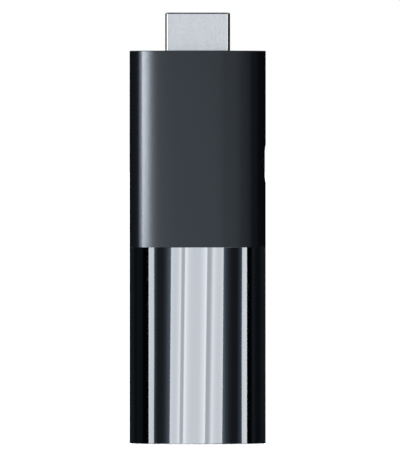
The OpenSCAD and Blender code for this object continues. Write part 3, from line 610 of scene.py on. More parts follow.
# Nickel-plated steel: cool bright grey with a satin sheen and faint rub marks from plugging in. Drawn
# lines run along the plug, a few hundredths of a millimetre apart on the real sheet and 0.09 mm here,
# so that they show.
plated_steel, place = new_material(
    "nickel_plated_sheet_steel", Base_Color=linear("#cfcfce"), Metallic=1.0, Roughness=0.3)
RUB, DRAW_LINE = 0.35 * MM, 0.09 * MM
stretched = add(plated_steel, "ShaderNodeMapping", inputs={
    "Vector": place, "Scale": (1 / DRAW_LINE, 1 / DRAW_LINE, 0.02 / DRAW_LINE)})
drawn = add(plated_steel, "ShaderNodeTexNoise", inputs={"Vector": stretched, "Scale": 1.0, "Detail": 2.0})
rubbed = add(plated_steel, "ShaderNodeTexNoise", inputs={"Vector": place, "Scale": 1 / RUB, "Detail": 3.0})
both = add(plated_steel, "ShaderNodeMath", {"operation": "MULTIPLY"}, {0: drawn, 1: rubbed})
add(plated_steel, "ShaderNodeMapRange", inputs={
    "Value": both, "From Min": 0.1, "From Max": 0.4, "To Min": 0.2, "To Max": 0.26}, to="Roughness")
add(plated_steel, "ShaderNodeBump", inputs={"Height": drawn, "Strength": 0.05, "Distance": 0.001 * MM},
    to="Normal")
dress(plug_shell, plated_steel, "plug_steel", "plug_shell", wall=plug_arcs)


# Video plug, core and contacts: a slotted core moulded in liquid-crystal polymer, with nineteen sprung
# bronze contacts pressed into its grooves. Both solids keep their own shape.

# Glass-filled liquid-crystal polymer: black, dry and faintly streaked along the flow.
core_polymer, place = new_material("glass_filled_polymer", IOR=1.6, Roughness=0.5)
FLOW_LINE = 0.15 * MM
stretched = add(core_polymer, "ShaderNodeMapping", inputs={
    "Vector": place, "Scale": (1 / FLOW_LINE, 1 / FLOW_LINE, 0.1 / FLOW_LINE)})
streaks = add(core_polymer, "ShaderNodeTexNoise", inputs={"Vector": stretched, "Scale": 1.0, "Detail": 2.0})
add(core_polymer, "ShaderNodeMix", {"data_type": "RGBA"}, {
    "Factor": streaks, "A": linear("#121315"), "B": linear("#202225")}, to="Base Color")
add(core_polymer, "ShaderNodeBump", inputs={"Height": streaks, "Strength": 0.2, "Distance": 0.01 * MM},
    to="Normal")
refinish(core_polymer, "plug_insulator", "socket_tongue")

# Gold flash over nickel on bronze strip: warm, bright and slightly uneven.
gold, place = new_material("gold_plated_bronze", Metallic=1.0, Roughness=0.22)
PLATING = 0.3 * MM
patches = add(gold, "ShaderNodeTexNoise", inputs={"Vector": place, "Scale": 1 / PLATING, "Detail": 2.0})
add(gold, "ShaderNodeMix", {"data_type": "RGBA"}, {
    "Factor": patches, "A": linear("#d9ab4f"), "B": linear("#f0cd7c")}, to="Base Color")
add(gold, "ShaderNodeMapRange", inputs={"Value": patches, "To Min": 0.16, "To Max": 0.32}, to="Roughness")
refinish(gold, "plug_contacts", "socket_contacts")


# Power socket: a small steel shell, bevelled at the rear, let into a notch of the board and soldered
# by two ears. Its tongue carries five contacts.

def across(piece):
    """Lays a mesh that was built upwards along X, so that its outline lies in Y and Z."""
    piece.data.transform(Matrix(((0, 0, 1, 0), (1, 0, 0, 0), (0, 1, 0, 0), (0, 0, 0, 1))))
    return piece


SOCKET_W, SOCKET_H, SOCKET_CORNER, SOCKET_BEND_Y = 7.5 * MM, 2.5 * MM, 0.4 * MM, 0.4 * MM
SOCKET_BEVEL, SOCKET_SHEET, SOCKET_EDGE_R, SOCKET_FOLD_R = 0.8 * MM, 0.25 * MM, 0.06 * MM, 0.04 * MM
EAR_L, EAR_FROM_BACK, EAR_W, SOCKET_STEP = 1.3 * MM, 0.4 * MM, 1.6 * MM, 0.05 * MM
socket_low, socket_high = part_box("socket_shell")
socket_y, socket_half = SOCKET_H / 2 - SOCKET_CORNER, SOCKET_W / 2 - SOCKET_CORNER
socket_ring = [
    (-socket_y, socket_z - socket_half), (SOCKET_BEND_Y, socket_z - socket_half),
    (socket_y, socket_z - socket_half + SOCKET_BEVEL), (socket_y, socket_z + socket_half - SOCKET_BEVEL),
    (SOCKET_BEND_Y, socket_z + socket_half), (-socket_y, socket_z + socket_half)]
socket_path = path_round(arcs_about(socket_ring, SOCKET_CORNER), SOCKET_STEP)
socket_shell = across(skin("socket_shell_folded", sweep(socket_path, [
    (0, socket_low.x),
    *fillet(SOCKET_EDGE_R, socket_high.x - SOCKET_EDGE_R, SOCKET_EDGE_R, 0, 90, 2),
    *fillet(SOCKET_SHEET - SOCKET_FOLD_R, socket_high.x - SOCKET_FOLD_R, SOCKET_FOLD_R, 90, 180, 2),
    (SOCKET_SHEET, socket_low.x)]), close=True))
ear_x, ear_l = socket_low.x + EAR_FROM_BACK, EAR_L + SOCKET_SHEET / 2
ears = [bar("ear", (ear_x, -board_y - SOCKET_SHEET, low), (ear_x + EAR_W, -board_y, high)) for low, high in (
    (socket_low.z, socket_low.z + ear_l), (socket_high.z - ear_l, socket_high.z))]
combine(socket_shell, "UNION", *ears)
dress(socket_shell, plated_steel, "socket_steel", "socket_shell")


# Wireless module: a small laminate board, soldered to the main one by half holes along two edges,
# with a moulded radio chip under a can drawn from nickel silver. Its board keeps its own shape.

def cover(name, low, high, bend, place_on, width, length):
    """Drawn sheet-metal lid over a rectangle: its open edge, its top and its bend radius. Drawing leaves
    its corners rounder than its bends."""
    return skin(name, sweep(rectangle(width, length, DRAWN_CORNER * bend), [
        *fillet(bend, high - bend, bend, 90, 0, 3), (0, low), (SHIELD_T, low), (SHIELD_T, high - SHIELD_T)]),
        places=[place_on])


RADIO_BOARD_T, RADIO_CHIP_W, RADIO_CHIP_H = 0.8 * MM, 5 * MM, 0.8 * MM
RADIO_CAN_W, RADIO_CAN_H, RADIO_CAN_BEND = 10.8 * MM, 1.2 * MM, 0.25 * MM
SHIELD_T, DRAWN_CORNER = 0.2 * MM, 1.3

# Blue solder mask, satin, a little paler over copper, on the same laminate.
blue_board, place = new_material("blue_masked_laminate", IOR=1.5, Roughness=0.35)
axes = add(blue_board, "ShaderNodeSeparateXYZ", inputs={"Vector": place})
flat = add(blue_board, "ShaderNodeCombineXYZ", inputs={"X": axes.outputs["X"], "Y": axes.outputs["Z"]})
add(blue_board, "ShaderNodeTexBrick", {"offset": 0.41}, {
    "Vector": flat, "Scale": 1 / TRACK_PITCH, "Mortar Size": 0.12, "Brick Width": 5.0, "Row Height": 1.0,
    "Color1": linear("#123a66"), "Color2": linear("#15406e"), "Mortar": linear("#2a69a3")}, to="Base Color")
refinish(blue_board, "radio_board")

radio_place = on_board(FRONT, *middle("radio_board"), lift=RADIO_BOARD_T)
radio_mould = skin("radio_mould", mould_rings(RADIO_CHIP_W, RADIO_CHIP_W, 0, RADIO_CHIP_H),
                   places=[radio_place])
dress(radio_mould, chip_epoxy, "chip_resin", "radio_chip")
radio_can = cover("radio_can_drawn", 0, RADIO_CAN_H, RADIO_CAN_BEND, radio_place, RADIO_CAN_W, RADIO_CAN_W)

# Nickel silver sheet: pale, faintly yellow metal with a rolled sheen that runs along the strip.
shield_metal, place = new_material("rolled_nickel_silver", Metallic=1.0, Roughness=0.3)
ROLL_LINE = 0.12 * MM
stretched = add(shield_metal, "ShaderNodeMapping", inputs={
    "Vector": place, "Scale": (1 / ROLL_LINE, 1 / ROLL_LINE, 0.03 / ROLL_LINE)})
rolled = add(shield_metal, "ShaderNodeTexNoise", inputs={"Vector": stretched, "Scale": 1.0, "Detail": 2.0})
add(shield_metal, "ShaderNodeMix", {"data_type": "RGBA"}, {
    "Factor": rolled, "A": linear("#b9b8b2"), "B": linear("#cfcec9")}, to="Base Color")
add(shield_metal, "ShaderNodeMapRange", inputs={"Value": rolled, "To Min": 0.24, "To Max": 0.42},
    to="Roughness")
dress(radio_can, shield_metal, "shield_sheet", "radio_can")


# Antennas: stamped and folded tinned bronze, one on each face at the lower end, soldered by two feet.
# Both solids keep their own shape.

# Tinned bronze strip: soft silver-white with rolling lines and a dull sheen.
antenna_strip, place = new_material("tinned_bronze_strip", Metallic=1.0, Roughness=0.35)
stretched = add(antenna_strip, "ShaderNodeMapping", inputs={
    "Vector": place, "Scale": (0.03 / ROLL_LINE, 1 / ROLL_LINE, 1 / ROLL_LINE)})
rolled = add(antenna_strip, "ShaderNodeTexNoise", inputs={"Vector": stretched, "Scale": 1.0, "Detail": 2.0})
add(antenna_strip, "ShaderNodeMix", {"data_type": "RGBA"}, {
    "Factor": rolled, "A": linear("#bfc0bd"), "B": linear("#d8d8d4")}, to="Base Color")
add(antenna_strip, "ShaderNodeMapRange", inputs={"Value": rolled, "To Min": 0.28, "To Max": 0.48},
    to="Roughness")
refinish(antenna_strip, "main_antenna", "second_antenna")


# Shields: on each face a soldered fence of nickel silver, which keeps its own shape, and a drawn lid
# that snaps over it with a row of dimples along its skirt.

LID_SKIRT, LID_BEND, SHIELD_H = 0.9 * MM, 0.19 * MM, 1.5 * MM
DIMPLE_PITCH, DIMPLE_D, DIMPLE_DEPTH, DIMPLE_MARGIN = 3.6 * MM, 0.5 * MM, 0.1 * MM, 1 * MM
refinish(shield_metal, "front_shield_frame", "rear_shield_frame")
for side, node in ((FRONT, "front_shield_lid"), (REAR, "rear_shield_lid")):
    low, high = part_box(node)
    width, length = high.x - low.x, high.z - low.z
    on = on_board(side, *middle(node))
    lid = cover(node + "_drawn", SHIELD_H - LID_SKIRT, SHIELD_H + SHIELD_T, LID_BEND, on, width, length)
    rows = int((length - 2 * DIMPLE_MARGIN) / DIMPLE_PITCH)
    half_way = SHIELD_H - LID_SKIRT / 2
    dimple_places = [
        on @ Matrix.Translation((s * width / 2, (i - (rows - 1) / 2) * DIMPLE_PITCH, half_way))
        @ Matrix.Rotation(s * pi / 2, 4, "Y") for i in range(rows) for s in (-1, 1)]
    dimples = skin("dimples", sweep(circle(DIMPLE_D / 2), [
        (DIMPLE_D / 4, -DIMPLE_DEPTH), (DIMPLE_DEPTH / 2, -DIMPLE_DEPTH / 2), (0, PAST)]),
        places=dimple_places)
    combine(lid, "DIFFERENCE", dimples)
    dress(lid, shield_metal, "shield_sheet", node)


# Thermal pads: soft silicone sheets, cut to size and squeezed between a chip and its lid or between
# a lid and its heat spreader, so their sides bulge a little.

PAD_BULGE, PAD_CORNER, BULGE_STEPS = 0.12 * MM, 0.3 * MM, 6

# Silicone filled with alumina: dull grey-blue, rubbery and speckled.
pad_silicone, place = new_material("alumina_filled_silicone", IOR=1.45, Roughness=0.85)
POWDER_GRAIN = 0.1 * MM
powder = add(pad_silicone, "ShaderNodeTexNoise", inputs={
    "Vector": place, "Scale": 1 / POWDER_GRAIN, "Detail": 3.0})
add(pad_silicone, "ShaderNodeMix", {"data_type": "RGBA"}, {
    "Factor": powder, "A": linear("#75878f"), "B": linear("#9fb0b7")}, to="Base Color")
add(pad_silicone, "ShaderNodeBump", inputs={"Height": powder, "Strength": 0.4, "Distance": 0.02 * MM},
    to="Normal")
for side, node in ((FRONT, "soc_thermal_pad"), (REAR, "flash_thermal_pad"),
                   (FRONT, "front_thermal_pad"), (REAR, "rear_thermal_pad")):
    low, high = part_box(node)
    thick = high.y - low.y
    lift = (low.y if side == REAR else -high.y) - board_y
    bulge = min(PAD_BULGE, thick / 3)
    sides = [(bulge * (2 * t / BULGE_STEPS - 1) ** 2, thick * t / BULGE_STEPS)
             for t in range(BULGE_STEPS + 1)]
    pad = skin(node + "_squeezed", sweep(rectangle(high.x - low.x, high.z - low.z, PAD_CORNER), sides),
               places=[on_board(side, *middle(node), lift=lift)])
    dress(pad, pad_silicone, "thermal_pad", node)


# Heat spreaders: extruded aluminium bars, flat towards the board and curved like the wall outside,
# sawn to length with a light chamfer.

# The section of the body is four arcs that run into each other: two wide ones and two tight sides.
BODY_W, BODY_D, SIDE_R, WALL, CURVE_STEP = 29.2 * MM, 15.2 * MM, 5.6 * MM, 1.5 * MM, 0.25 * MM
side_x = BODY_W / 2 - SIDE_R
front_r = (side_x ** 2 + (BODY_D / 2) ** 2 - SIDE_R ** 2) / (BODY_D - 2 * SIDE_R)
front_y = front_r - BODY_D / 2
turn = asin(side_x / (front_r - SIDE_R))

SPREADER_GAP, SPREADER_CORNER, SAW_CHAMFER = 0.15 * MM, 0.15 * MM, 0.1 * MM
spreader_r = front_r - WALL - SPREADER_GAP
spreader_low, spreader_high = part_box("rear_heat_spreader")
corner_x = spreader_high.x - SPREADER_CORNER
corner_y = sqrt((spreader_r - SPREADER_CORNER) ** 2 - corner_x ** 2) - front_y
lean = atan2(corner_y + front_y, corner_x)
flat_y = spreader_low.y + SPREADER_CORNER
spreader_arcs = [
    ((corner_x, flat_y), -pi / 2, 0, SPREADER_CORNER),
    ((corner_x, corner_y), 0, lean, SPREADER_CORNER),
    ((0, -front_y), lean, pi - lean, spreader_r),
    ((-corner_x, corner_y), pi - lean, pi, SPREADER_CORNER),
    ((-corner_x, flat_y), pi, 3 * pi / 2, SPREADER_CORNER)]

# Extruded aluminium: bright grey with fine die lines along its length, a tenth of a millimetre apart.
extruded_aluminium, place = new_material("extruded_aluminium", Metallic=1.0, Roughness=0.35)
DIE_LINE = 0.1 * MM
stretched = add(extruded_aluminium, "ShaderNodeMapping", inputs={
    "Vector": place, "Scale": (1 / DIE_LINE, 1 / DIE_LINE, 0.004 / DIE_LINE)})
lines = add(extruded_aluminium, "ShaderNodeTexNoise", inputs={
    "Vector": stretched, "Scale": 1.0, "Detail": 2.0})
add(extruded_aluminium, "ShaderNodeMix", {"data_type": "RGBA"}, {
    "Factor": lines, "A": linear("#c6c8ca"), "B": linear("#dfe1e2")}, to="Base Color")
add(extruded_aluminium, "ShaderNodeMapRange", inputs={"Value": lines, "To Min": 0.28, "To Max": 0.45},
    to="Roughness")
add(extruded_aluminium, "ShaderNodeBump", inputs={"Height": lines, "Strength": 0.3, "Distance": 0.01 * MM},
    to="Normal")
for name, node, half_turn in (
        ("rear_spreader", "rear_heat_spreader", 0), ("front_spreader", "front_heat_spreader", 180)):
    spreader = skin(name, sweep(path_round(spreader_arcs, CURVE_STEP), [
        (SAW_CHAMFER, spreader_low.z), (0, spreader_low.z + SAW_CHAMFER),
        (0, spreader_high.z - SAW_CHAMFER), (SAW_CHAMFER, spreader_high.z)]),
        places=[Matrix.Rotation(radians(half_turn), 4, "Z")])
    dress(spreader, extruded_aluminium, "spreader_aluminium", node)


# Inner frame: two rails whose grooves hold the edges of the board, a bulkhead round the plug and a bar
# behind the board, moulded in one piece from a polycarbonate blend. Its solid keeps its own shape.

# Polycarbonate blend: dark grey, semi-matt, with the even fine texture of a blasted tool.
frame_plastic, place = new_material("moulded_polycarbonate_blend", IOR=1.57, Roughness=0.5)
BLAST_GRAIN = 0.12 * MM
blasted = add(frame_plastic, "ShaderNodeTexNoise", inputs={
    "Vector": place, "Scale": 1 / BLAST_GRAIN, "Detail": 2.0})
add(frame_plastic, "ShaderNodeMix", {"data_type": "RGBA"}, {
    "Factor": blasted, "A": linear("#1f2124"), "B": linear("#2b2e32")}, to="Base Color")
add(frame_plastic, "ShaderNodeBump", inputs={"Height": blasted, "Strength": 0.3, "Distance": 0.01 * MM},
    to="Normal")
refinish(frame_plastic, "inner_frame")


# Frame screws: cross-head self-tapping screws through the board into the frame's bosses, cold-headed
# with a rolled thread and zinc-plated.

SCREW_D, CORE_D, SCREW_L, PITCH, BLUNT_TIP = 1.6 * MM, 1.2 * MM, 3.2 * MM, 0.6 * MM, 0.45
HEAD_D, HEAD_L, HEAD_R, HEAD_CHAMFER, HEAD_SINK = 2.8 * MM, 0.7 * MM, 0.25 * MM, 0.1 * MM, 0.02 * MM
CROSS_L, CROSS_W, CROSS_R, CROSS_TAPER, CROSS_FLOOR = 1.5 * MM, 0.42 * MM, 0.15 * MM, 0.12 * MM, 0.4
screw_low, screw_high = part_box("frame_screws")
screw_x, screw_z = screw_high.x - HEAD_D / 2, (screw_low.z + screw_high.z) / 2
into_board = Matrix.Rotation(-pi / 2, 4, "X")
screw_places = [
    Matrix.Translation((s * screw_x, screw_low.y + HEAD_L, screw_z)) @ into_board for s in (-1, 1)]


def thread_rings(core, crest, pitch, length, around=40, steps=8):
    """Rings of a threaded shank that tapers to its blunt tip. A ridge, half as wide as the pitch at its
    foot, winds up it once for each pitch."""
    rings = []
    count = round(length / pitch * steps)
    for j in range(count + 1):
        height = length * j / count
        taper = min(1, (length - height) / pitch + BLUNT_TIP)
        ring = []
        for i in range(around):
            turned = i / around
            ridge = max(0, 1 - abs((height / pitch - turned) % 1 - 0.5) * 4)
            radius = (core + (crest - core) * ridge) / 2 * taper
            ring.append(Vector((radius * cos(2 * pi * turned), radius * sin(2 * pi * turned), height)))
        rings.append(ring)
    return rings


screws = skin("screws_threaded", thread_rings(CORE_D, SCREW_D, PITCH, SCREW_L), places=screw_places)
heads = skin("screw_heads", sweep(circle(HEAD_D / 2), [
    (HEAD_CHAMFER, HEAD_SINK), (0, -HEAD_CHAMFER), *fillet(HEAD_R, -HEAD_L + HEAD_R, HEAD_R, 0, -90, 4)]),
    places=screw_places)
recesses = [skin("recess", sweep(rectangle(*size, CROSS_R), [
    (CROSS_TAPER, -HEAD_L * CROSS_FLOOR), (0, -HEAD_L - PAST)]),
    places=screw_places) for size in ((CROSS_L, CROSS_W), (CROSS_W, CROSS_L))]
combine(heads, "DIFFERENCE", *recesses)

# Zinc-plated steel: pale bluish grey, half bright, slightly mottled.
zinc, place = new_material("zinc_plated_steel", Metallic=1.0, Roughness=0.35)
MOTTLE = 0.4 * MM
mottled = add(zinc, "ShaderNodeTexNoise", inputs={"Vector": place, "Scale": 1 / MOTTLE, "Detail": 3.0})
add(zinc, "ShaderNodeMix", {"data_type": "RGBA"}, {
    "Factor": mottled, "A": linear("#a9adb2"), "B": linear("#c6cace")}, to="Base Color")
add(zinc, "ShaderNodeMapRange", inputs={"Value": mottled, "To Min": 0.25, "To Max": 0.45}, to="Roughness")
dress(screws, zinc, "screw_steel", "frame_screws")
dress(heads, zinc, "screw_steel", "frame_screws")


# Light guide: a clear acrylic pin with a head inside the wall, pressed into the side so that its end
# follows the outer curve and carries the status light to the surface.

GUIDE_D, GUIDE_HEAD_D, GUIDE_HEAD_L, GUIDE_SINK, GUIDE_POINTS = 1.2 * MM, 2.0 * MM, 0.4 * MM, 0.03 * MM, 48
guide_low, guide_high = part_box("light_guide")
guide_y, guide_z = (guide_low.y + guide_high.y) / 2, (guide_low.z + guide_high.z) / 2


def guide_ring(radius, x=None):
    """Ring round the guide at X, or on the outer curve of the side where no X is given."""
    ring = []
    for i in range(GUIDE_POINTS):
        angle = 2 * pi * i / GUIDE_POINTS
        y = guide_y + radius * cos(angle)
        surface = side_x + sqrt((SIDE_R - GUIDE_SINK) ** 2 - y ** 2)
        ring.append(Vector((surface if x is None else x, y, guide_z + radius * sin(angle))))
    return ring


guide = skin("light_guide_pin", [
    guide_ring(GUIDE_HEAD_D / 2 - SOFT_EDGE, guide_low.x),
    guide_ring(GUIDE_HEAD_D / 2, guide_low.x + SOFT_EDGE),
    guide_ring(GUIDE_HEAD_D / 2, guide_low.x + GUIDE_HEAD_L),
    guide_ring(GUIDE_D / 2, guide_low.x + GUIDE_HEAD_L),
    *[guide_ring(GUIDE_D / 2 * share) for share in (1, 0.7, 0.4, 0.15)]])

# Polished acrylic: water-clear with sharp reflections, a trace of flow haze inside.
clear_acrylic, place = new_material("polished_acrylic", IOR=1.49, Transmission_Weight=1.0)
haze = add(clear_acrylic, "ShaderNodeTexNoise", inputs={"Vector": place, "Scale": 1 / MOTTLE})
add(clear_acrylic, "ShaderNodeMix", {"data_type": "RGBA"}, {
    "Factor": haze, "A": linear("#dfe8ec"), "B": linear("#f2f6f8")}, to="Base Color")
add(clear_acrylic, "ShaderNodeMapRange", inputs={"Value": haze, "To Min": 0.02, "To Max": 0.1},
    to="Roughness")
dress(guide, clear_acrylic, "clear_guide", "light_guide")


# Lower housing: an oval cup injection-moulded in ABS and polished to a piano-black gloss, with sharp
# rims. Its thin spigot slides into the upper housing, and four beads on it snap home.

UPPER_L, LOWER_L, END_WALL, RIM_R = 42.1 * MM, 42.1 * MM, 1.6 * MM, 0.15 * MM
SPIGOT_L, SPIGOT_T, SPIGOT_CHAMFER, JOINT_R = 3.2 * MM, 0.7 * MM, 0.2 * MM, 0.03 * MM
BEAD_H, BEAD_SLOPE, BEAD_TURN, BEAD_PLACE, BEAD_RISE, BEAD_STEPS = 0.2 * MM, 0.45 * MM, 5, 13, 0.6, 8
body_l, bead_z = LOWER_L + UPPER_L, LOWER_L + SPIGOT_L * BEAD_RISE
oval = [
    ((side_x, 0), turn - pi / 2, pi / 2 - turn, SIDE_R),
    ((0, -front_y), pi / 2 - turn, pi / 2 + turn, front_r),
    ((-side_x, 0), pi / 2 + turn, 3 * pi / 2 - turn, SIDE_R),
    ((0, front_y), 3 * pi / 2 - turn, 3 * pi / 2 + turn, front_r)]
round_body = path_round(oval, CURVE_STEP)


def degrees_of(length):
    """Angle that a length takes up on the body's wide curve, in degrees."""
    return length / front_r * 180 / pi


def beads(name, radius, grow=0.0):
    """Four low wedges round the spigot, or, grown by a fit, the cutters of their grooves."""
    slope, tip, turned = BEAD_SLOPE + grow, BEAD_H + grow, BEAD_TURN + degrees_of(grow)
    root = -SPIGOT_T / 2
    section = [(root, -slope - tip), (0, -slope), (tip, 0), (0, slope), (root, slope + tip)]
    rings = []
    for i in range(BEAD_STEPS + 1):
        angle = radians(-90 - turned + 2 * turned * i / BEAD_STEPS)
        rings.append([Vector(((radius + out) * cos(angle), (radius + out) * sin(angle), bead_z + up))
                      for out, up in section])
    places = [Matrix.Rotation(half, 4, "Z") @ Matrix.Translation((0, front_y, 0))
              @ Matrix.Rotation(radians(s * BEAD_PLACE), 4, "Z") for half in (0, pi) for s in (-1, 1)]
    return skin(name, rings, places=places)


lower_housing = skin("lower_housing_shell", sweep(round_body, [
    *fillet(RIM_R, RIM_R, RIM_R, -90, 0),
    *fillet(JOINT_R, LOWER_L - JOINT_R, JOINT_R, 0, 90, 2),
    (WALL - SPIGOT_T, LOWER_L),
    (WALL - SPIGOT_T, LOWER_L + SPIGOT_L - SPIGOT_CHAMFER),
    (WALL - SPIGOT_T + SPIGOT_CHAMFER, LOWER_L + SPIGOT_L),
    (WALL, LOWER_L + SPIGOT_L),
    (WALL, END_WALL)]))
combine(lower_housing, "UNION", beads("snap_beads", front_r - WALL + SPIGOT_T))

# Piano-black ABS: a deep neutral black under a mirror-like polish. Wiping leaves hair-fine marks, which
# only dull the reflections a trace.
gloss, place = new_material("piano_black_polished_abs", IOR=1.5, Roughness=0.03)
WIPE_MARK = 1.6 * MM
wiped = add(gloss, "ShaderNodeTexNoise", inputs={
    "Vector": place, "Scale": 1 / WIPE_MARK, "Detail": 4.0, "Distortion": 1.0})
add(gloss, "ShaderNodeMix", {"data_type": "RGBA"}, {
    "Factor": wiped, "A": linear("#060708"), "B": linear("#09090b")}, to="Base Color")
add(gloss, "ShaderNodeMapRange", inputs={
    "Value": wiped, "From Min": 0.3, "From Max": 0.7, "To Min": 0.02, "To Max": 0.045}, to="Roughness")
dress(lower_housing, gloss, "gloss_housing", "lower_housing", wall=oval)


# Upper housing: the same oval as a tube closed at the top, moulded in ABS in a spark-eroded tool, which
# leaves a fine matt grain. It is open for the plug, the power socket and the light guide.

SLIDE_FIT, SPIGOT_FIT, SOCKET_GAP, GUIDE_FIT = 0.1 * MM, 0.06 * MM, 0.25 * MM, 0.02 * MM
OPENING_CHAMFER, HEAD_PLAY = 0.15 * MM, 0.01 * MM
cavity_x = BODY_W / 2 - WALL
upper_housing = skin("upper_housing_shell", sweep(round_body, [
    *fillet(RIM_R, body_l - RIM_R, RIM_R, 90, 0),
    *fillet(JOINT_R, LOWER_L + JOINT_R, JOINT_R, 0, -90, 2),
    (WALL - SPIGOT_T - SPIGOT_FIT, LOWER_L),
    (WALL - SPIGOT_T - SPIGOT_FIT, LOWER_L + SPIGOT_L + SLIDE_FIT),
    (WALL, LOWER_L + SPIGOT_L + SLIDE_FIT),
    (WALL, body_l - END_WALL)]))
plug_opening = skin("plug_opening", sweep(plug_path, [
    (-SLIDE_FIT, body_l - 2 * END_WALL), (-SLIDE_FIT, body_l - OPENING_CHAMFER),
    (-SLIDE_FIT - 2 * OPENING_CHAMFER, body_l + OPENING_CHAMFER)]))
socket_opening = across(skin("socket_opening", sweep(socket_path, [
    (-SOCKET_GAP, cavity_x - WELL_PAST), (-SOCKET_GAP, BODY_W / 2 + WELL_PAST)])))

# The inner face of the wall is relieved up to the socket, so that the housing slides on over it.
relief = bar("relief", (0, -SOCKET_H / 2 - SOCKET_GAP, LOWER_L - WELL_PAST),
             (socket_high.x + SLIDE_FIT, SOCKET_H / 2 + SOCKET_GAP, socket_z + SOCKET_W / 2 + SOCKET_GAP))
head_inset, head_end = GUIDE_FIT - (GUIDE_HEAD_D - GUIDE_D) / 2, cavity_x + GUIDE_HEAD_L + HEAD_PLAY
guide_hole = across(skin("guide_hole", sweep(circle(GUIDE_D / 2 + GUIDE_FIT, centre=(guide_y, guide_z)), [
    (head_inset, cavity_x - WELL_PAST), (head_inset, head_end), (0, head_end), (0, BODY_W / 2 + WELL_PAST)])))
bead_grooves = beads("bead_grooves", front_r - WALL + SPIGOT_T + SPIGOT_FIT, SPIGOT_FIT)
combine(upper_housing, "DIFFERENCE", plug_opening, socket_opening, relief, guide_hole, bead_grooves)

# Spark-eroded ABS: charcoal black with a low broad sheen. The grain is 0.15 mm across and a few
# thousandths deep; it is drawn a little deeper than that, so that it just shows.
matte, place = new_material("spark_eroded_abs", IOR=1.5, Roughness=0.21)
ERODED_GRAIN = 0.15 * MM
eroded = add(matte, "ShaderNodeTexNoise", inputs={
    "Vector": place, "Scale": 1 / ERODED_GRAIN, "Detail": 2.0, "Roughness": 0.6})
add(matte, "ShaderNodeMix", {"data_type": "RGBA"}, {
    "Factor": eroded, "A": linear("#0b0c0e"), "B": linear("#101114")}, to="Base Color")
add(matte, "ShaderNodeBump", inputs={"Height": eroded, "Strength": 0.25, "Distance": 0.01 * MM},
    to="Normal")
dress(upper_housing, matte, "matte_housing", "upper_housing", wall=oval)


# Studio: a pale floor, soft strips on a round wall that only the glossy half mirrors, soft lamps for
# everything else, and the camera straight in front.

WALL_R, WALL_LOW, WALL_HIGH, STRIP_STEP, STRIP_ROWS = 1.2, -1.0, 0.9, 2, 12
DAYLIGHT, COOL, COOLER, BLUE = (0.91, 1.0, 1.12), (0.935, 1.0, 1.08), (0.86, 1.0, 1.15), (0.78, 1.0, 1.27)


def light_only(source, lit):
    """Links a light to the pieces that it falls on."""
    group = bpy.data.collections.new(source.name + "_on")
    for piece in lit:
        group.objects.link(piece)
    source.light_linking.receiver_collection = group


def stand(strip, light):
    """Puts up a mesh of light that only the glossy half mirrors."""
    strip.data.materials.append(light)
    strip.visible_camera = False
    strip.visible_shadow = False
    strip.visible_diffuse = False
    light_only(strip, [lower_housing])


def empty_material(name):
    """Material with no nodes yet, for a surface without a pattern."""
    material = bpy.data.materials.new(name)
    material.use_nodes = True
    material.node_tree.nodes.clear()
    return material


def wall_strip(name, strength, stops, tint=COOL, lean=0.0, high=WALL_HIGH, radius=WALL_R):
    """Upright strip of light on the wall. Its stops are angles from the front, in degrees, each with its
    share of the strength, and it leans by some degrees for each metre of height."""
    first, last = stops[0][0], stops[-1][0]
    bm = bmesh.new()
    columns = max(2, round((last - first) / STRIP_STEP))
    uv = bm.loops.layers.uv.new("across")
    grid = []
    for j in range(STRIP_ROWS + 1):
        z = WALL_LOW + (high - WALL_LOW) * j / STRIP_ROWS
        angles = [radians(first + (last - first) * i / columns + lean * z) for i in range(columns + 1)]
        grid.append([bm.verts.new((radius * sin(a), -radius * cos(a), z)) for a in angles])
    for j in range(STRIP_ROWS):
        for i in range(columns):
            corners = ((j, i), (j, i + 1), (j + 1, i + 1), (j + 1, i))
            face = bm.faces.new([grid[row][column] for row, column in corners])
            for loop, (row, column) in zip(face.loops, corners):
                loop[uv].uv = (column / columns, 0.5)
    mesh = bpy.data.meshes.new(name)
    bm.to_mesh(mesh)
    bm.free()
    strip = bpy.data.objects.new(name, mesh)
    bpy.context.scene.collection.objects.link(strip)
    light = empty_material(name)
    along = add(light, "ShaderNodeUVMap", {"uv_map": "across"})
    split = add(light, "ShaderNodeSeparateXYZ", inputs={"Vector": along})
    ramp = add(light, "ShaderNodeValToRGB", inputs={"Fac": split})
    elements = ramp.color_ramp.elements
    for k, (at, value) in enumerate(stops):
        share = (at - first) / (last - first)
        element = elements[k] if k < 2 else elements.new(share)
        element.position = share
        element.color = (*(value * part for part in tint), 1)
    glow = add(light, "ShaderNodeEmission", inputs={"Color": ramp, "Strength": strength})
    add(light, "ShaderNodeOutputMaterial", inputs={"Surface": glow})
    stand(strip, light)


LAMP_AWAY, LAMP_AIM = 0.8, 50 * MM


def lamp(name, azimuth, elevation, wide, high, radiance, tint, lit):
    """Flat soft lamp turned to the stick: its direction and how much of the view it fills, in degrees."""
    data = bpy.data.lights.new(name, "AREA")
    data.shape = "RECTANGLE"
    data.size, data.size_y = (2 * LAMP_AWAY * tan(radians(v) / 2) for v in (wide, high))
    data.energy = radiance * pi * data.size * data.size_y
    data.color = tint
    source = bpy.data.objects.new(name, data)
    turned, raised = radians(azimuth), radians(elevation)
    out = Vector((sin(turned) * cos(raised), -cos(turned) * cos(raised), sin(raised)))
    source.location = out * LAMP_AWAY + Vector((0, 0, LAMP_AIM))
    source.rotation_euler = out.to_track_quat("Z", "Y").to_euler()
    bpy.context.scene.collection.objects.link(source)
    light_only(source, lit)


# All that shows except the two housings
others = [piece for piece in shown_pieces() if piece not in (lower_housing, upper_housing)]

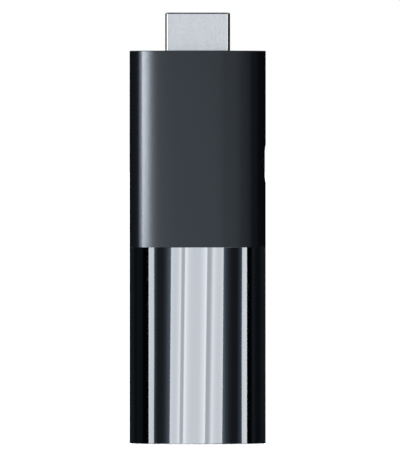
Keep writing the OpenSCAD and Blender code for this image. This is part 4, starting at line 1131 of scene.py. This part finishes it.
# What the glossy half mirrors: a bright strip at each side, a wide leaning panel in front with two
# thin darker lines, which are strips of their own just inside it, a soft glow between the panel and
# the strips, and a dim ring outside them that stands for the room.
LINE_R, ROOM_R = WALL_R - 0.02, WALL_R + 0.05
wall_strip("left_strip", 15, ((-46.3, 1.1), (-45, 0.98), (-42, 0.95), (-40.9, 0.85)))
wall_strip("right_strip", 15, ((41.5, 0.95), (43, 1.0), (46.6, 1.1)))
wall_strip("front_panel", 14.3, ((-25.4, 1.1), (-22, 1), (20, 1), (23.4, 1.12)), lean=22)
wall_strip("left_line", 14.3, (
    (-21, 1), (-19, 1.05), (-17, 1.3), (-16.2, 1.25), (-15.6, 0.72), (-13.1, 0.68), (-12.4, 1.3),
    (-11.6, 1.42), (-9.8, 1.17), (-7.9, 1.06), (-5, 1)), lean=34, radius=LINE_R)
wall_strip("right_line", 14.3, (
    (1, 1), (3, 1.1), (5, 1.21), (6.9, 1.42), (7.5, 1.3), (8.1, 0.66), (10.8, 0.68), (12.2, 0.95),
    (13.8, 1.28), (15.9, 1.09), (18.5, 1)), lean=38, radius=LINE_R)
wall_strip("left_glow", 1, (
    (-40.9, 1.6), (-39.8, 0.9), (-38.5, 0.45), (-37, 0.27), (-33, 0.3), (-30.4, 0.55), (-28.5, 1.15),
    (-25.4, 2.4)), tint=BLUE, lean=12)
wall_strip("right_glow", 1, (
    (23.4, 2.8), (26, 1.1), (29, 0.45), (32, 0.22), (36.5, 0.2), (38.5, 0.5), (41.5, 1.4)),
    tint=BLUE, lean=12)
wall_strip("surroundings", 1, (
    (-180, 0.04), (-140, 0.05), (-118, 0.1), (-98, 0.06), (-85, 0.12), (-62, 0.12), (-56, 0.01), (0, 0.05),
    (50, 0.005), (55, 0.1), (61, 0.25), (68, 0.17), (80, 0.09), (95, 0.075), (115, 0.11), (130, 0.07),
    (180, 0.04)), tint=BLUE, radius=ROOM_R)

# A glowing disc closes the wall below, in place of the bright paper that the stick stands on.
DISC_T, DISC_STEP = 0.01, 0.05
disc = sweep(circle(WALL_R, DISC_STEP), [(0, WALL_LOW - DISC_T), (0, WALL_LOW)])
paper_glow = skin("paper_glow", disc)
paper_light = empty_material("paper_glow")
glow = add(paper_light, "ShaderNodeEmission", inputs={"Color": (*COOL, 1), "Strength": 0.4})
add(paper_light, "ShaderNodeOutputMaterial", inputs={"Surface": glow})
stand(paper_glow, paper_light)

# Strips behind and beside the stick end below the level of the view, so only a camera that looks down
# sees them mirrored.
LOW_STRIPS_END = -0.1
wall_strip("rear_panel", 12, ((167, 0.8), (172, 1), (188, 1), (193, 0.8)), high=LOW_STRIPS_END)
wall_strip("right_side_strip", 9, ((107, 1), (114, 1)), high=LOW_STRIPS_END)
wall_strip("left_side_strip", 9, ((-114, 1), (-107, 1)), high=LOW_STRIPS_END)

# Lamps of the matte half. The small bright one at the left ends just below the level of the view,
# which makes the bright line fade downwards; a dimmer one below it serves views from above.
for name, azimuth, elevation, wide, high, radiance, tint in (
        ("left_matte_edge", -70.5, -11.5, 14, 37, 3.5, COOLER),
        ("left_matte", -55.1, 2.75, 16.6, 8.5, 22, DAYLIGHT),
        ("left_matte_low", -55.1, -18, 16.6, 24, 13.5, DAYLIGHT),
        ("front_matte", -11, -11.5, 72, 37, 1.22, COOLER),
        ("front_matte_right", 32.5, -11.5, 15, 37, 0.92, COOLER),
        ("right_matte", 45, -11.5, 10, 37, 0.44, COOLER),
        ("right_matte_edge", 67, -11.5, 34, 37, 0.09, COOLER)):
    lamp(name, azimuth, elevation, wide, high, radiance, tint, [upper_housing])

# Lamps of the plug and of all that lies inside the housings.
lamp("front_plug", 0, 6.5, 26, 15, 1.28, COOL, others)
lamp("front_plug_low", 0, -17, 26, 18, 1.0, COOL, others)
lamp("left_plug", -41.5, 0, 39, 24, 2.6, COOL, others)
lamp("right_plug", 23, 0, 16, 24, 2.4, COOL, others)

# A ring of low lamps, which only a camera that looks down sees mirrored in the sides and the rear.
not_glossy = [upper_housing, *others]
for name, azimuth, wide, radiance in (
        ("left_low", -96, 40, 0.55), ("left_rear_low", -133, 12, 5), ("rear_low", 180, 70, 1.1),
        ("right_rear_low", 135, 12, 5), ("right_low", 94, 40, 0.7), ("front_low", 0, 100, 0.55)):
    lamp(name, azimuth, -27, wide, 26, radiance, COOL, not_glossy)

# A ring of high lamps for the faces that look up, one below and two on top. The plug is left out of the
# high front lamp and of the bright top one, so that its lip stays dark in front.
above = [upper_housing, *(piece for piece in others if piece != plug_shell)]
for azimuth in (0, 90, 180, 270):
    lamp(f"high_{azimuth}", azimuth, 45, 80, 40, 0.55, COOL, not_glossy if azimuth else above)
lamp("below", 0, -90, 80, 80, 0.35, COOL, not_glossy)
lamp("top", 0, 90, 70, 70, 1.0, COOL, above)
lamp("top_plug", 0, 90, 70, 70, 0.2, COOL, [plug_shell])

# White paper: even and dull, under a sun that lights nothing else. It throws no light or shadow on
# the pieces.
FLOOR_HALF = 40.0
bm = bmesh.new()
bmesh.ops.create_grid(bm, x_segments=8, y_segments=8, size=FLOOR_HALF)
floor_mesh = bpy.data.meshes.new("floor")
bm.to_mesh(floor_mesh)
bm.free()
floor = bpy.data.objects.new("floor", floor_mesh)
bpy.context.scene.collection.objects.link(floor)
paper = empty_material("white_paper")
dull = add(paper, "ShaderNodeBsdfPrincipled", inputs={"Base Color": linear("#f4f4f4"), "Roughness": 1.0})
add(paper, "ShaderNodeOutputMaterial", inputs={"Surface": dull})
floor_mesh.materials.append(paper)
floor.visible_glossy = False
floor.visible_diffuse = False
floor.visible_shadow = False

overhead = bpy.data.lights.new("overhead", "SUN")
overhead.energy, overhead.angle = 5.0, radians(50)
overhead_lamp = bpy.data.objects.new("overhead", overhead)
bpy.context.scene.collection.objects.link(overhead_lamp)
light_only(overhead_lamp, [floor])

# The camera sees a white background. To everything else the world is nearly dark.
world = bpy.data.worlds.new("studio")
bpy.context.scene.world = world
world.use_nodes = True
world.node_tree.nodes.clear()
ray = add(world, "ShaderNodeLightPath")
seen = add(world, "ShaderNodeBackground", inputs={"Color": (1, 1, 1, 1), "Strength": 1.0})
unseen = add(world, "ShaderNodeBackground", inputs={"Color": (0.9, 1, 1.1, 1), "Strength": 0.02})
mix = add(world, "ShaderNodeMixShader", inputs={0: ray.outputs["Is Camera Ray"], 1: unseen, 2: seen})
add(world, "ShaderNodeOutputWorld", inputs={"Surface": mix})

# The camera stands far off and a little above the middle of the stick, and its lens takes in as much
# as the photograph shows.
CAMERA_AWAY, CAMERA_RISE, SENSOR_W = 2.5, 0.015, 36
VIEW_CENTRE, VIEW_H = Vector((0.0005, 0, 0.04685)), 0.0965
camera_data = bpy.data.cameras.new("camera")
camera_data.sensor_width = SENSOR_W
camera_data.lens = SENSOR_W * CAMERA_AWAY / VIEW_H
camera_data.clip_start, camera_data.clip_end = 0.01, 100
camera = bpy.data.objects.new("camera", camera_data)
camera.location = VIEW_CENTRE + Vector((0, -CAMERA_AWAY, CAMERA_RISE))
camera.rotation_euler = (VIEW_CENTRE - camera.location).to_track_quat("-Z", "Y").to_euler()
bpy.context.scene.collection.objects.link(camera)
bpy.context.scene.camera = camera
bpy.context.scene.view_settings.view_transform = "Standard"
